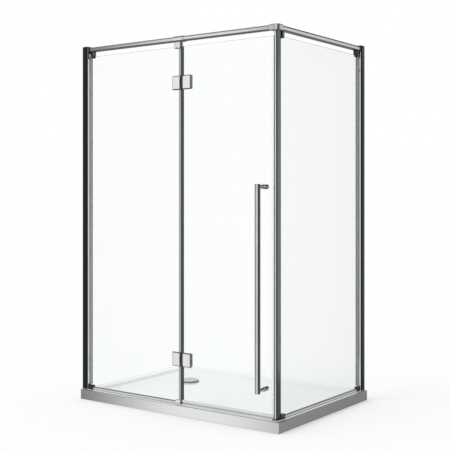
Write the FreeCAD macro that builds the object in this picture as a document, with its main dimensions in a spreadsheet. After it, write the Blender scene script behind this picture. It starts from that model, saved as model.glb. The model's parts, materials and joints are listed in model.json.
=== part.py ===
import FreeCAD, Part
import math
import os
import Sketcher

# Shower enclosure: a hinged glass door in line with a fixed panel, a side return panel, two wall
# profiles, a chrome header rail round the top and a low tray with a polished metal apron.
#
# Millimetres. The origin is on the floor under the middle of the tray, +X runs to the right along
# the front, +Y to the back and +Z up. The left wall is the plane at minus half the tray's width
# and the back wall the plane at plus half its depth.

doc = FreeCAD.newDocument("ShowerEnclosure")

SIZES = [
    # whole enclosure
    ("tray_width", 1300, "left wall to the tray's right edge"),
    ("tray_depth", 900, "tray's front edge to the back wall"),
    ("tray_height", 55, "floor to the top of the tray's rim"),
    ("frame_height", 1950, "floor to the top of the wall profiles"),
    ("glass_inset", 34, "tray's edge to the middle of the glass"),
    ("glass_thick", 8, "toughened glass"),
    ("glass_arris", 0.8, "ground bevel on the glass edges"),
    ("fixed_reach", 692, "left wall to the door's hinge axis"),
    # tray
    ("shell_wall", 5, "acrylic shell"),
    ("skirt_lift", 12, "floor to the lower edge of the shell's skirt"),
    ("rim_wide", 60, "flat rim of the tray"),
    ("cove_wide", 26, "sloping side of the basin, seen from above"),
    ("cove_drop", 13, "depth of the basin's sloping side"),
    ("fall_drop", 8, "fall of the basin's floor towards the waste"),
    ("basin_corner", 62, "corner radius of the basin at the rim"),
    ("board_inset", 92, "tray's edge to the stiffening board"),
    ("board_thick", 13, "stiffening board under the shell"),
    ("board_corner", 20, "corner radius of the board"),
    ("board_clear", 4, "lock nut of the waste to the board's hole"),
    ("foot_radius", 24, "pad of a levelling foot"),
    ("foot_pad", 6, "thickness of that pad"),
    ("foot_stud", 7, "radius of the foot's stud"),
    ("foot_edge", 55, "board's edge to the outer feet"),
    ("apron_sheet", 1.5, "metal apron sheet"),
    ("apron_flange", 9, "flange that the apron folds over the rim"),
    ("apron_lift", 1, "floor to the lower edge of the apron"),
    ("apron_gap", 0.2, "room between the apron and the shell"),
    # waste
    ("waste_left", 295, "left wall to the waste"),
    ("waste_back", 300, "back wall to the waste"),
    ("waste_hole", 45, "radius of the hole in the tray"),
    ("waste_seat", 68, "half the flat square round that hole"),
    ("seat_flat", 4, "half the straight part of the square's sides"),
    ("flange_radius", 57, "waste flange"),
    ("flange_thick", 2.5, "waste flange"),
    ("flange_bevel", 1, "bevel on the flange's edge"),
    ("waste_seal_thick", 1.5, "rubber ring under the flange"),
    ("cup_radius", 43, "outside of the waste's cup"),
    ("cup_wall", 3, "waste's cup"),
    ("outlet_radius", 20, "bore of the outlet"),
    ("outlet_lift", 3, "floor to the end of the outlet"),
    ("outlet_neck", 6, "outlet below the bottom of the cup"),
    ("nut_rise", 7, "lock nut under the tray"),
    ("nut_radius", 53, "lock nut under the tray"),
    ("cover_lift", 3, "water gap under the cover"),
    ("cover_thick", 4, "waste cover"),
    ("cover_crown", 0.6, "rise of the cover inside its bevel"),
    ("cover_bevel", 2, "bevel on the cover's edge"),
    ("cover_seat_gap", 0.2, "room under the cover's lugs"),
    ("stem_wall", 2, "tube under the cover"),
    ("stem_gap", 2, "that tube to the cup round it"),
    ("stem_drop", 12, "top of the flange to the end of that tube"),
    ("lug_radius", 3, "lug under the cover"),
    ("lug_inset", 7, "edge of the cover to the middle of a lug"),
    # wall profiles
    ("profile_deep", 38, "wall profile measured across the glass"),
    ("channel_reach", 28, "wall channel measured out from the wall"),
    ("profile_reach", 38, "wall to the face of the adjusting profile"),
    ("profile_start", 10, "wall to the back of the adjusting profile"),
    ("channel_wall", 2, "aluminium wall of both profiles"),
    ("slide_gap", 0.3, "room between the two nested profiles"),
    ("slot_deep", 16, "glass slot of the adjusting profile"),
    ("gasket_wall", 2.2, "vinyl gasket between the slot and the glass"),
    ("gasket_proud", 0.8, "lip of the gasket outside its slot"),
    ("cap_thick", 2, "cap on top of a wall profile"),
    ("button_radius", 5.5, "screw button on a cap"),
    ("button_rise", 1.5, "screw button on a cap"),
    ("wall_hole", 3, "radius of the wall screw holes"),
    ("wall_hole_rise", 195, "foot of a wall profile to its lowest screw"),
    ("wall_hole_drop", 198, "top of a wall profile to its highest screw"),
    # header rail
    ("rail_wide", 36, "header rail from front to back"),
    ("rail_rise", 25, "header rail from bottom to top"),
    ("rail_corner", 8, "corner radius of the rail's section"),
    ("rail_wall", 2, "rail's tube wall"),
    ("rail_drop", 6, "top of the wall profiles to the top of the rail"),
    ("rail_fit", 0.1, "room between the rail and its sleeves"),
    ("sleeve_wall", 2.5, "wall of the rail's sleeves and corner"),
    ("sleeve_long", 62, "sleeve that joins the two front rails"),
    ("set_screw_inset", 10, "end of the sleeve to its set screw hole"),
    ("socket_long", 12, "socket of the corner and of the wall brackets"),
    ("elbow_corner", 16, "outer corner radius of the corner fitting"),
    ("elbow_round", 7, "rounded upper and lower edges of the corner fitting"),
    ("bracket_plate", 4, "plate of a rail bracket"),
    # clamps on the glass
    ("glass_top_gap", 26, "underside of the rail to the top of the glass"),
    ("clamp_wide", 40, "middle clamp along the glass"),
    ("end_clamp_wide", 18, "left, corner and rear clamps along the glass"),
    ("clamp_deep", 26, "clamp across the glass"),
    ("clamp_bite", 9, "glass held by a clamp"),
    ("clamp_pad", 1, "pad between a clamp and the glass"),
    ("clamp_corner", 4, "rounded corners of a clamp"),
    ("clamp_screw", 3, "radius of a clamp's screw"),
    ("screw_proud", 0.5, "screw outside its clamp"),
    ("pad_inset", 0.5, "lower edge of a clamp to its pad"),
    ("screw_fit", 0.05, "room round a screw or a stud"),
    ("clamp_gap", 1, "profile or elbow to the clamp beside it"),
    ("foot_plate", 6, "foot of a lower bracket"),
    ("bracket_rise", 24, "lower bracket from the rim upwards"),
    ("bracket_wide", 30, "lower bracket along the glass"),
    ("bracket_slot_gap", 0.5, "room beside the glass in a lower bracket"),
    ("foot_reach", 14, "lower middle foot beyond the hinge axis"),
    ("corner_reach", 2, "corner foot under the door's free edge"),
    ("corner_clamp", 34, "raised part of the corner foot along the side glass"),
    ("corner_clamp_lift", 1, "rim to the underside of that raised part"),
    ("corner_clamp_round", 6, "corner radius of that raised part"),
    # lower channels and sill
    ("low_rise", 15, "lower channel from the rim upwards"),
    ("low_wall", 2, "lower channel's wall and web"),
    ("low_gap", 1, "room beside the glass in the lower channel"),
    ("sill_rise", 8, "back edge of the sill"),
    ("sill_toe_rise", 1.5, "front edge of the sill"),
    ("sill_toe_gap", 1, "apron's flange to the sill"),
    ("sill_back", 14, "middle of the glass to the back of the sill"),
    ("sill_top", 6, "flat top of the sill"),
    # hinges
    ("hinge_drop", 186, "top of the glass to the middle of the upper hinge"),
    ("hinge_rise", 218, "foot of the door glass to the middle of the lower hinge"),
    ("leaf_wide", 51, "hinge leaf along the glass"),
    ("leaf_tall", 70, "hinge leaf"),
    ("leaf_thick", 8, "hinge leaf"),
    ("leaf_pad", 1, "gasket under a leaf"),
    ("leaf_clear", 0.5, "room between the leaves with the door square open"),
    ("leaf_corner", 5, "corner radius of a leaf"),
    ("leaf_edge", 1.2, "rounded front edge of a leaf"),
    ("knuckle_radius", 5.6, "hinge knuckle"),
    ("knuckle_clear", 0.4, "knuckle to the edges of the glass"),
    ("knuckle_tall", 20, "outer knuckle"),
    ("knuckle_gap", 0.4, "room between knuckles"),
    ("web_lap", 2, "knuckle's web inside its leaf"),
    ("web_inset", 1, "front of the knuckle to the front of its web"),
    ("pin_radius", 3.5, "hinge pin"),
    ("pin_fit", 0.05, "running clearance round the hinge pin"),
    ("leaf_screw", 3, "radius of a leaf's screw"),
    ("leaf_screw_head", 5.5, "radius of its head"),
    ("leaf_screw_pitch", 36, "screw to screw on a leaf"),
    ("head_sink", 0.4, "screw head below the face of its plate"),
    ("head_deep", 3, "screw head's recess"),
    ("leaf_skin", 2, "leaf in front of its blind screw holes"),
    ("screw_end_gap", 0.2, "end of a screw to the bottom of its hole"),
    ("gasket_inset", 1, "edge of a leaf to its gasket"),
    ("leaf_hole", 8, "radius of the holes in the glass"),
    # door
    ("strike_gap", 10, "door glass to the side glass"),
    ("door_lift", 12, "tray's rim to the door glass"),
    ("seal_wall", 1.2, "vinyl seal"),
    ("seal_leg", 14, "leg of a seal on the glass"),
    ("seal_fin_gap", 0.6, "room between a fin and what it meets"),
    ("fin_thick", 6, "bulb of the hinge-side seal"),
    ("magnet_deep", 4.4, "magnet strip on the door's edge"),
    ("magnet_gap", 0.6, "room between the two magnet strips"),
    ("strike_lead", 6, "middle of the front glass to the front of the corner profile"),
    ("strike_deep", 28, "corner profile along the side glass"),
    ("strike_wall", 2.5, "corner profile's side wall"),
    ("strike_web", 3, "corner profile's front web"),
    ("strike_face", 2, "front of the magnet strip on the corner profile"),
    ("strike_magnet", 13, "side of that strip that meets the door"),
    ("sweep_leg", 12, "leg of the sweep on the door glass"),
    ("sweep_fin", 4, "fin of the sweep below its base"),
    ("sweep_fin_inset", 2, "front of the door glass to that fin"),
    # handle
    ("handle_inset", 53.5, "door's free edge to the handle bar"),
    ("handle_radius", 14, "handle bar"),
    ("handle_wall", 2, "handle bar's tube wall"),
    ("handle_low", 183, "floor to the lower end of the bar"),
    ("handle_long", 1000, "handle bar"),
    ("handle_stand", 63, "middle of the glass to the middle of the bar"),
    ("cap_rise", 3, "handle end cap, outside and inside the tube"),
    ("cap_bevel", 1, "bevel on a handle end cap"),
    ("stand_inset", 13, "end of the bar to its standoff"),
    ("stand_radius", 9, "standoff"),
    ("collar_radius", 13, "collar at the glass"),
    ("collar_long", 7, "collar at the glass"),
    ("handle_pad", 1, "gasket on each side of the glass"),
    ("handle_hole", 8, "radius of the handle's holes in the glass"),
    ("stud_radius", 4, "stud through the glass"),
    ("stud_grip", 18, "stud inside the standoff"),
    ("stud_end_gap", 1, "end of the stud to the bottom of its hole"),
    ("knob_radius", 11.5, "inner knob"),
    ("knob_long", 22, "inner knob"),
    ("knob_round", 5, "rounded end of the inner knob"),
    ("joint_fit", 0.1, "room where round parts nest"),
]

sheet = doc.addObject("Spreadsheet::Sheet", "Sizes")
for row, (name, value, meaning) in enumerate(SIZES, start=1):
    sheet.set(f"A{row}", name)
    sheet.set(f"B{row}", str(value))
    sheet.set(f"C{row}", meaning)
    sheet.setAlias(f"B{row}", name)
doc.recompute()


class Size:
    """A length held both as an expression of the sheet's cells and as its present value."""

    def __init__(self, text, value):
        self.text = text
        self.value = value

    def __add__(self, other):
        other = size(other)
        return Size(f"({self.text} + {other.text})", self.value + other.value)

    def __sub__(self, other):
        other = size(other)
        return Size(f"({self.text} - {other.text})", self.value - other.value)

    def __mul__(self, other):
        other = size(other)
        return Size(f"({self.text} * {other.text})", self.value * other.value)

    def __truediv__(self, other):
        other = size(other)
        return Size(f"({self.text} / {other.text})", self.value / other.value)

    def __neg__(self):
        return Size(f"(0 - {self.text})", -self.value)

    def __radd__(self, other):
        return size(other) + self

    def __rsub__(self, other):
        return size(other) - self


def size(value):
    """A plain number as a Size."""
    if isinstance(value, Size):
        return value
    return Size(f"{value}", float(value))


class Cells:
    """The sheet's cells by name."""

    def __getattr__(self, name):
        return Size(f"Sizes.{name}", float(sheet.get(name)))


S = Cells()

# ---------------------------------------------------------------- shared places

LEFT = -S.tray_width / 2
RIGHT = S.tray_width / 2
FRONT = -S.tray_depth / 2
BACK = S.tray_depth / 2
DECK = S.tray_height

GLASS_Y = FRONT + S.glass_inset
GLASS_X = RIGHT - S.glass_inset
HALF_GLASS = S.glass_thick / 2
FRONT_FACE = GLASS_Y - HALF_GLASS
REAR_FACE = GLASS_Y + HALF_GLASS
SIDE_INNER = GLASS_X - HALF_GLASS
SIDE_OUTER = GLASS_X + HALF_GLASS

RAIL_TOP = S.frame_height - S.rail_drop
RAIL_LOW = RAIL_TOP - S.rail_rise
RAIL_MID = RAIL_TOP - S.rail_rise / 2
GLASS_TOP = RAIL_LOW - S.glass_top_gap
GLASS_FOOT = DECK + S.low_wall
GLASS_REACH = S.profile_reach - S.slot_deep + S.low_wall
POST_TOP = S.frame_height - S.cap_thick
CLAMP_LOW = GLASS_TOP - S.clamp_bite

LEAF_BACK = FRONT_FACE - S.leaf_pad
HINGE_X = LEFT + S.fixed_reach
HINGE_Y = LEAF_BACK
FIXED_EDGE = HINGE_X - S.knuckle_radius - S.knuckle_clear
DOOR_EDGE = HINGE_X + S.knuckle_radius + S.knuckle_clear
FREE_EDGE = SIDE_INNER - S.strike_gap
DOOR_FOOT = DECK + S.door_lift
LEAF_SIDE = S.leaf_thick + S.leaf_clear
SCREW_OFFSET = LEAF_SIDE + S.leaf_wide / 2

STRIKE_FRONT = GLASS_Y - S.strike_lead
STRIKE_BACK = STRIKE_FRONT + S.strike_deep
SIDE_EDGE = STRIKE_FRONT + S.strike_web
ELBOW_HALF = S.rail_wide / 2 + S.sleeve_wall
ELBOW_END = ELBOW_HALF + S.socket_long
ELBOW_LOW = RAIL_LOW - S.sleeve_wall

HANDLE_X = FREE_EDGE - S.handle_inset
HANDLE_Y = GLASS_Y - S.handle_stand
HANDLE_TOP = S.handle_low + S.handle_long
STANDOFFS = {"lower": S.handle_low + S.stand_inset, "upper": HANDLE_TOP - S.stand_inset}
HINGES = {"upper": GLASS_TOP - S.hinge_drop, "lower": DOOR_FOOT + S.hinge_rise}

WASTE_X = LEFT + S.waste_left
WASTE_Y = BACK - S.waste_back
BASIN_TOP = DECK - S.cove_drop
BASIN_LOW = BASIN_TOP - S.fall_drop
PAN_LOW = BASIN_LOW - S.shell_wall

nodes = {}


def keep(name, item):
    """Register a finished sub-part under the name of its file."""
    item.Label = name
    nodes[name] = item
    return item


# ---------------------------------------------------------------- solid primitives

TURNS = {
    "x": FreeCAD.Rotation(FreeCAD.Vector(0, 1, 0), 90),
    "y": FreeCAD.Rotation(FreeCAD.Vector(1, 0, 0), -90),
    "z": FreeCAD.Rotation(),
}


def bind(item, path, length):
    item.setExpression(path, size(length).text)


def block(name, x, y, z):
    """Box between a low and a high value on each axis."""
    box = doc.addObject("Part::Box", name)
    for side, axis, (low, high) in zip(("Length", "Width", "Height"), "xyz", (x, y, z)):
        bind(box, side, size(high) - low)
        bind(box, f".Placement.Base.{axis}", low)
    return box


def rod(name, axis, centre, radius, low, high):
    """Cylinder along an axis; centre gives its other two coordinates in X, Y, Z order."""
    cylinder = doc.addObject("Part::Cylinder", name)
    cylinder.Placement = FreeCAD.Placement(FreeCAD.Vector(), TURNS[axis])
    bind(cylinder, "Radius", radius)
    bind(cylinder, "Height", size(high) - low)
    across = iter(centre)
    for letter in "xyz":
        place = low if letter == axis else next(across)
        bind(cylinder, f".Placement.Base.{letter}", place)
    return cylinder


def joined(name, *pieces):
    fuse = doc.addObject("Part::MultiFuse", name)
    fuse.Shapes = list(pieces)
    return fuse


def group(name, *pieces):
    """Separate solids that share one node."""
    compound = doc.addObject("Part::Compound", name)
    compound.Links = list(pieces)
    return compound


def without(name, base, *tools):
    cut = doc.addObject("Part::Cut", name)
    cut.Base = base
    cut.Tool = tools[0] if len(tools) == 1 else joined(name + "_tools", *tools)
    return cut


# ---------------------------------------------------------------- sketched bodies

PLANES = {"x": ("YZ_Plane", 1), "y": ("XZ_Plane", -1), "z": ("XY_Plane", 1)}


def hold(sketch, kind, item, point, length):
    """Dimension from the sketch's origin to a point of one of its lines or arcs."""
    index = sketch.addConstraint(Sketcher.Constraint(kind, -1, 1, item, point, length.value))
    sketch.setExpression(f"Constraints[{index}]", length.text)


def hold_radius(sketch, item, length):
    index = sketch.addConstraint(Sketcher.Constraint("Radius", item, length.value))
    sketch.setExpression(f"Constraints[{index}]", length.text)


def polygon(*points):
    """Closed outline of straight lines, each corner dimensioned from the origin."""
    points = [(size(u), size(v)) for u, v in points]

    def draw(sketch):
        first = sketch.GeometryCount
        count = len(points)
        ends = [FreeCAD.Vector(u.value, v.value, 0) for u, v in points]
        for index in range(count):
            sketch.addGeometry(Part.LineSegment(ends[index], ends[(index + 1) % count]))
        for index in range(count):
            following = first + (index + 1) % count
            sketch.addConstraint(
                Sketcher.Constraint("Coincident", first + index, 2, following, 1))
        for index, (u, v) in enumerate(points):
            hold(sketch, "DistanceX", first + index, 1, u)
            hold(sketch, "DistanceY", first + index, 1, v)
    return draw


def rectangle(u, v):
    """Outline between a low and a high value on each of the sketch's axes."""
    return polygon((u[0], v[0]), (u[1], v[0]), (u[1], v[1]), (u[0], v[1]))


def rounded(u, v, radius):
    """Rectangle with round corners, its arcs tangent to its sides."""
    radius = size(radius)
    lows = (size(u[0]) + radius, size(v[0]) + radius)
    highs = (size(u[1]) - radius, size(v[1]) - radius)
    centres = [lows, (highs[0], lows[1]), highs, (lows[0], highs[1])]
    quarter = math.pi / 2

    def draw(sketch):
        first = sketch.GeometryCount
        normal = FreeCAD.Vector(0, 0, 1)
        for index, (cu, cv) in enumerate(centres):
            circle = Part.Circle(FreeCAD.Vector(cu.value, cv.value, 0), normal, radius.value)
            start = quarter * (index + 2)
            sketch.addGeometry(Part.ArcOfCircle(circle, start, start + quarter))
        for index in range(4):
            start = sketch.getPoint(first + index, 2)
            end = sketch.getPoint(first + (index + 1) % 4, 1)
            sketch.addGeometry(Part.LineSegment(start, end))
        for index, (cu, cv) in enumerate(centres):
            arc = first + index
            line = first + 4 + index
            following = first + (index + 1) % 4
            sketch.addConstraint(Sketcher.Constraint("Tangent", arc, 2, line, 1))
            sketch.addConstraint(Sketcher.Constraint("Tangent", line, 2, following, 1))
            hold(sketch, "DistanceX", arc, 3, cu)
            hold(sketch, "DistanceY", arc, 3, cv)
            hold_radius(sketch, arc, radius)
    return draw


def circle(centre, radius):
    centre = (size(centre[0]), size(centre[1]))
    radius = size(radius)

    def draw(sketch):
        place = FreeCAD.Vector(centre[0].value, centre[1].value, 0)
        item = sketch.addGeometry(Part.Circle(place, FreeCAD.Vector(0, 0, 1), radius.value))
        hold(sketch, "DistanceX", item, 3, centre[0])
        hold(sketch, "DistanceY", item, 3, centre[1])
        hold_radius(sketch, item, radius)
    return draw


class Body:
    """A part body built up from, and cut by, prisms between two levels of an axis."""

    def __init__(self, name):
        self.body = doc.addObject("PartDesign::Body", name)
        self.name = name
        self.steps = 0

    def feature(self, kind):
        self.steps += 1
        return self.body.newObject(f"PartDesign::{kind}", f"{self.name}_{kind}{self.steps}")

    def sketch(self, axis, level, drawings):
        """Sketch across an axis at a level of that axis."""
        role, sign = PLANES[axis]
        plane = next(item for item in self.body.Origin.OriginFeatures if item.Role == role)
        self.steps += 1
        sketch = self.body.newObject("Sketcher::SketchObject", f"{self.name}_Sketch{self.steps}")
        sketch.AttachmentSupport = [(plane, "")]
        sketch.MapMode = "FlatFace"
        bind(sketch, ".AttachmentOffset.Base.z", level if sign > 0 else -size(level))
        for draw in drawings:
            draw(sketch)
        return sketch

    def add(self, axis, low, high, *drawings):
        sign = PLANES[axis][1]
        sketch = self.sketch(axis, low if sign > 0 else high, drawings)
        pad = self.feature("Pad")
        pad.Profile = sketch
        bind(pad, "Length", size(high) - low)
        return self

    def cut(self, axis, low, high, *drawings):
        """Pocket from one level to another, checked to have taken something away."""
        doc.recompute()
        before = self.body.Shape.Volume
        sign = PLANES[axis][1]
        sketch = self.sketch(axis, high if sign > 0 else low, drawings)
        pocket = self.feature("Pocket")
        pocket.Profile = sketch
        bind(pocket, "Length", size(high) - low)
        doc.recompute()
        if self.body.Shape.Volume > before - 0.001:
            raise RuntimeError(f"{self.name}: a pocket took nothing away")
        return self

    def loft(self, kind, axis, *levels):
        """Straight-sided loft through (level, drawing) pairs."""
        sketches = [self.sketch(axis, level, [draw]) for level, draw in levels]
        loft = self.feature(kind)
        loft.Profile = sketches[0]
        loft.Sections = sketches[1:]
        loft.Ruled = True
        return self

    def dress(self, kind, length, chosen):
        """Fillet or Chamfer on the edges that the given test picks."""
        doc.recompute()
        base = self.body.Tip
        names = [f"Edge{number}" for number, edge in enumerate(base.Shape.Edges, start=1)
                 if chosen(edge)]
        if not names:
            raise RuntimeError(f"{self.name}: no edge to dress")
        dressing = self.feature(kind)
        dressing.Base = (base, names)
        bind(dressing, "Radius" if kind == "Fillet" else "Size", length)
        return self

    def turned(self, kind, centre, *drawings):
        """Revolution or Groove about the upright line through centre, drawn in radius and Z."""
        sketch = self.sketch("y", centre[1], drawings)
        bind(sketch, ".AttachmentOffset.Base.x", centre[0])
        spin = self.feature(kind)
        spin.Profile = sketch
        spin.ReferenceAxis = (sketch, ["V_Axis"])
        return self


def along(axis):
    """Test for straight edges that run along an axis."""
    direction = FreeCAD.Vector(*(1 if letter == axis else 0 for letter in "xyz"))

    def test(edge):
        if edge.Curve.TypeId != "Part::GeomLine":
            return False
        return abs(edge.tangentAt(edge.FirstParameter).dot(direction)) > 0.999
    return test


def on_level(axis, level):
    """Test for edges that lie wholly at a level of an axis."""
    index = "xyz".index(axis)

    def test(edge):
        low = (edge.BoundBox.XMin, edge.BoundBox.YMin, edge.BoundBox.ZMin)[index]
        high = (edge.BoundBox.XMax, edge.BoundBox.YMax, edge.BoundBox.ZMax)[index]
        return abs(low - level.value) < 0.01 and abs(high - level.value) < 0.01
    return test


# ---------------------------------------------------------------- tray

WASTE = (WASTE_X, WASTE_Y)
REBATE = S.apron_sheet + S.apron_gap
SHELL_RIGHT = RIGHT - REBATE
SHELL_FRONT = FRONT + REBATE
BOARD_LOW = PAN_LOW - S.board_thick


def basin_outline(inset, radius):
    """The basin's rounded outline, moved in from the rim by an inset."""
    margin = S.rim_wide + inset
    return rounded((LEFT + margin, RIGHT - margin), (FRONT + margin, BACK - margin), radius)


def waste_outline():
    """Square seat of the waste with wide round corners."""
    half = S.waste_seat
    return rounded((WASTE_X - half, WASTE_X + half), (WASTE_Y - half, WASTE_Y + half),
                   half - S.seat_flat)


def tray_shell():
    """Acrylic shell: rim, hanging skirt, sloping basin sides and a floor that falls to the waste."""
    wall = S.shell_wall
    body = Body("tray_shell")
    body.add("z", DECK - wall, DECK, rectangle((LEFT, SHELL_RIGHT), (SHELL_FRONT, BACK)))
    body.add("z", S.skirt_lift, DECK - wall,
             rectangle((LEFT, SHELL_RIGHT), (SHELL_FRONT, BACK)),
             rectangle((LEFT + wall, SHELL_RIGHT - wall), (SHELL_FRONT + wall, BACK - wall)))
    body.loft("AdditiveLoft", "z",
              (DECK - wall, basin_outline(-wall, S.basin_corner + wall)),
              (BASIN_TOP - wall, basin_outline(S.cove_wide - wall, S.basin_corner)))
    body.loft("AdditiveLoft", "z",
              (BASIN_TOP - wall, basin_outline(S.cove_wide - wall, S.basin_corner)),
              (PAN_LOW, waste_outline()))
    body.loft("SubtractiveLoft", "z",
              (DECK, basin_outline(0, S.basin_corner)),
              (BASIN_TOP, basin_outline(S.cove_wide, S.basin_corner - wall)))
    body.loft("SubtractiveLoft", "z",
              (BASIN_TOP, basin_outline(S.cove_wide, S.basin_corner - wall)),
              (BASIN_LOW, waste_outline()))
    body.cut("z", PAN_LOW, BASIN_LOW, circle(WASTE, S.waste_hole))
    flange = S.apron_flange + S.apron_gap
    body.cut("z", DECK - REBATE, DECK, rectangle((LEFT, RIGHT), (FRONT, FRONT + flange)))
    body.cut("z", DECK - REBATE, DECK, rectangle((RIGHT - flange, RIGHT), (FRONT, BACK)))
    keep("tray_shell", body.body)


def tray_base_board():
    """Stiffening board under the shell, open round the waste."""
    inset = S.board_inset
    body = Body("tray_base_board")
    body.add("z", BOARD_LOW, PAN_LOW,
             rounded((LEFT + inset, RIGHT - inset), (FRONT + inset, BACK - inset),
                     S.board_corner),
             circle(WASTE, S.nut_radius + S.board_clear))
    keep("tray_base_board", body.body)


def levelling_feet():
    """Feet under the board: one in the middle and the rest in two rows round it."""
    far_x = RIGHT - S.board_inset - S.foot_edge
    far_y = BACK - S.board_inset - S.foot_edge
    places = [(0, 0)]
    places += [(far_x * step, far_y * side) for step in (-1, 0, 1) for side in (-1, 1)]
    feet = []
    for number, place in enumerate(places, start=1):
        pad = rod(f"foot_pad_{number}", "z", place, S.foot_radius, 0, S.foot_pad)
        stud = rod(f"foot_stud_{number}", "z", place, S.foot_stud, S.foot_pad, BOARD_LOW)
        feet.append(joined(f"foot_{number}", pad, stud))
    keep("levelling_feet", group("levelling_feet", *feet))


def aprons():
    """Polished sheet on the front and the right side, folded inwards over the rim."""
    gauge = S.apron_sheet
    flange = S.apron_flange
    front = Body("apron_front")
    front.add("x", LEFT, RIGHT,
              polygon((FRONT, S.apron_lift), (FRONT + gauge, S.apron_lift),
                      (FRONT + gauge, DECK - gauge), (FRONT + flange, DECK - gauge),
                      (FRONT + flange, DECK), (FRONT, DECK)))
    keep("apron_front", front.body)
    side = Body("apron_side")
    side.add("y", FRONT + gauge, BACK,
             polygon((RIGHT, S.apron_lift), (RIGHT, DECK), (RIGHT - flange, DECK),
                     (RIGHT - flange, DECK - gauge), (RIGHT - gauge, DECK - gauge),
                     (RIGHT - gauge, S.apron_lift)))
    side.cut("z", DECK - gauge, DECK,
             rectangle((RIGHT - flange, RIGHT), (FRONT, FRONT + flange)))
    keep("apron_side", side.body)


# ---------------------------------------------------------------- waste

FLANGE_LOW = BASIN_LOW + S.waste_seal_thick
FLANGE_TOP = FLANGE_LOW + S.flange_thick
CUP_INNER = S.cup_radius - S.cup_wall
COVER_LUGS = 3


def waste_body():
    """Flange on the seal, cup through the tray and outlet under it."""
    outlet_outer = S.outlet_radius + S.cup_wall
    cup_low = S.outlet_lift + S.outlet_neck
    cup_floor = cup_low + S.cup_wall
    bevel = S.flange_bevel
    body = Body("waste_body")
    body.turned("Revolution", WASTE, polygon(
        (S.outlet_radius, S.outlet_lift), (outlet_outer, S.outlet_lift),
        (outlet_outer, cup_low), (S.cup_radius, cup_low), (S.cup_radius, FLANGE_LOW),
        (S.flange_radius, FLANGE_LOW), (S.flange_radius, FLANGE_TOP - bevel),
        (S.flange_radius - bevel, FLANGE_TOP), (CUP_INNER, FLANGE_TOP), (CUP_INNER, cup_floor),
        (S.outlet_radius, cup_floor)))
    keep("waste_body", body.body)


def waste_rings():
    """Seal between the flange and the tray, and the lock nut under the tray."""
    seal = Body("waste_seal")
    seal.turned("Revolution", WASTE, rectangle(
        (S.waste_hole, S.flange_radius - S.flange_bevel), (BASIN_LOW, FLANGE_LOW)))
    keep("waste_seal", seal.body)
    nut = Body("waste_nut")
    nut.turned("Revolution", WASTE, rectangle(
        (S.cup_radius + S.joint_fit, S.nut_radius), (PAN_LOW - S.nut_rise, PAN_LOW)))
    keep("waste_nut", nut.body)


def waste_cover():
    """Lift-out cover: a crowned disc on three lugs, with a tube that hangs in the cup."""
    low = FLANGE_TOP + S.cover_lift
    top = low + S.cover_thick
    bevel = S.cover_bevel
    stem = CUP_INNER - S.stem_gap
    stem_low = FLANGE_TOP - S.stem_drop
    body = Body("waste_cover")
    body.turned("Revolution", WASTE, polygon(
        (0, low), (stem - S.stem_wall, low), (stem - S.stem_wall, stem_low), (stem, stem_low),
        (stem, low), (S.flange_radius, low), (S.flange_radius, top - bevel),
        (S.flange_radius - bevel, top - S.cover_crown), (S.flange_radius / 2, top), (0, top)))
    reach = S.flange_radius - S.lug_inset
    for number in range(COVER_LUGS):
        turn = math.tau * number / COVER_LUGS
        place = (WASTE_X + reach * math.cos(turn), WASTE_Y + reach * math.sin(turn))
        body.add("z", FLANGE_TOP + S.cover_seat_gap, low, circle(place, S.lug_radius))
    keep("waste_cover", body.body)


# ---------------------------------------------------------------- wall profiles

POST_HALF = S.profile_deep / 2
INSERT_HALF = POST_HALF - S.channel_wall - S.slide_gap
SLOT_HALF = HALF_GLASS + S.gasket_wall
SLOT_FLOOR = S.profile_reach - S.slot_deep
WALL_SCREWS = 4
LOW_SCREW = DECK + S.wall_hole_rise
SCREW_PITCH = (POST_TOP - S.wall_hole_drop - LOW_SCREW) / (WALL_SCREWS - 1)


class Wall:
    """One of the two walls: places beside it are given by reach, out from the wall along its
    glass, and across, from one face of the glass to the other."""

    def __init__(self, name, axis):
        self.name = name
        self.axis = axis
        self.middle = GLASS_Y if axis == "x" else GLASS_X

    def level(self, reach):
        """Coordinate along the wall's own axis."""
        return LEFT + reach if self.axis == "x" else BACK - reach

    def span(self, near, far):
        """Low and high coordinate between two reaches."""
        ends = (self.level(near), self.level(far))
        return ends if self.axis == "x" else (ends[1], ends[0])

    def plan(self, *stations):
        """Outline in plan through (reach, across) stations."""
        points = [(self.level(reach), self.middle + across) for reach, across in stations]
        if self.axis == "y":
            points = [(across, along_wall) for along_wall, across in points]
        return polygon(*points)

    def plan_box(self, near, far, low, high):
        return self.plan((near, low), (far, low), (far, high), (near, high))

    def block(self, name, reach, across, z):
        """Box from spans of reach, across and height."""
        run = self.span(*reach)
        width = (self.middle + across[0], self.middle + across[1])
        x, y = (run, width) if self.axis == "x" else (width, run)
        return block(name, x, y, z)


WALLS = [Wall("left", "x"), Wall("rear", "y")]


def wall_channel(wall):
    """U channel with a column of screw holes through the web that lies on the wall."""
    inner = POST_HALF - S.channel_wall
    body = Body(f"wall_channel_{wall.name}")
    body.add("z", DECK, POST_TOP, wall.plan(
        (0, -POST_HALF), (S.channel_reach, -POST_HALF), (S.channel_reach, -inner),
        (S.channel_wall, -inner), (S.channel_wall, inner), (S.channel_reach, inner),
        (S.channel_reach, POST_HALF), (0, POST_HALF)))
    low, high = wall.span(0, S.channel_wall)
    for number in range(WALL_SCREWS):
        height = LOW_SCREW + SCREW_PITCH * number
        body.cut(wall.axis, low, high, circle((wall.middle, height), S.wall_hole))
    keep(f"wall_channel_{wall.name}", body.body)


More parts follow.
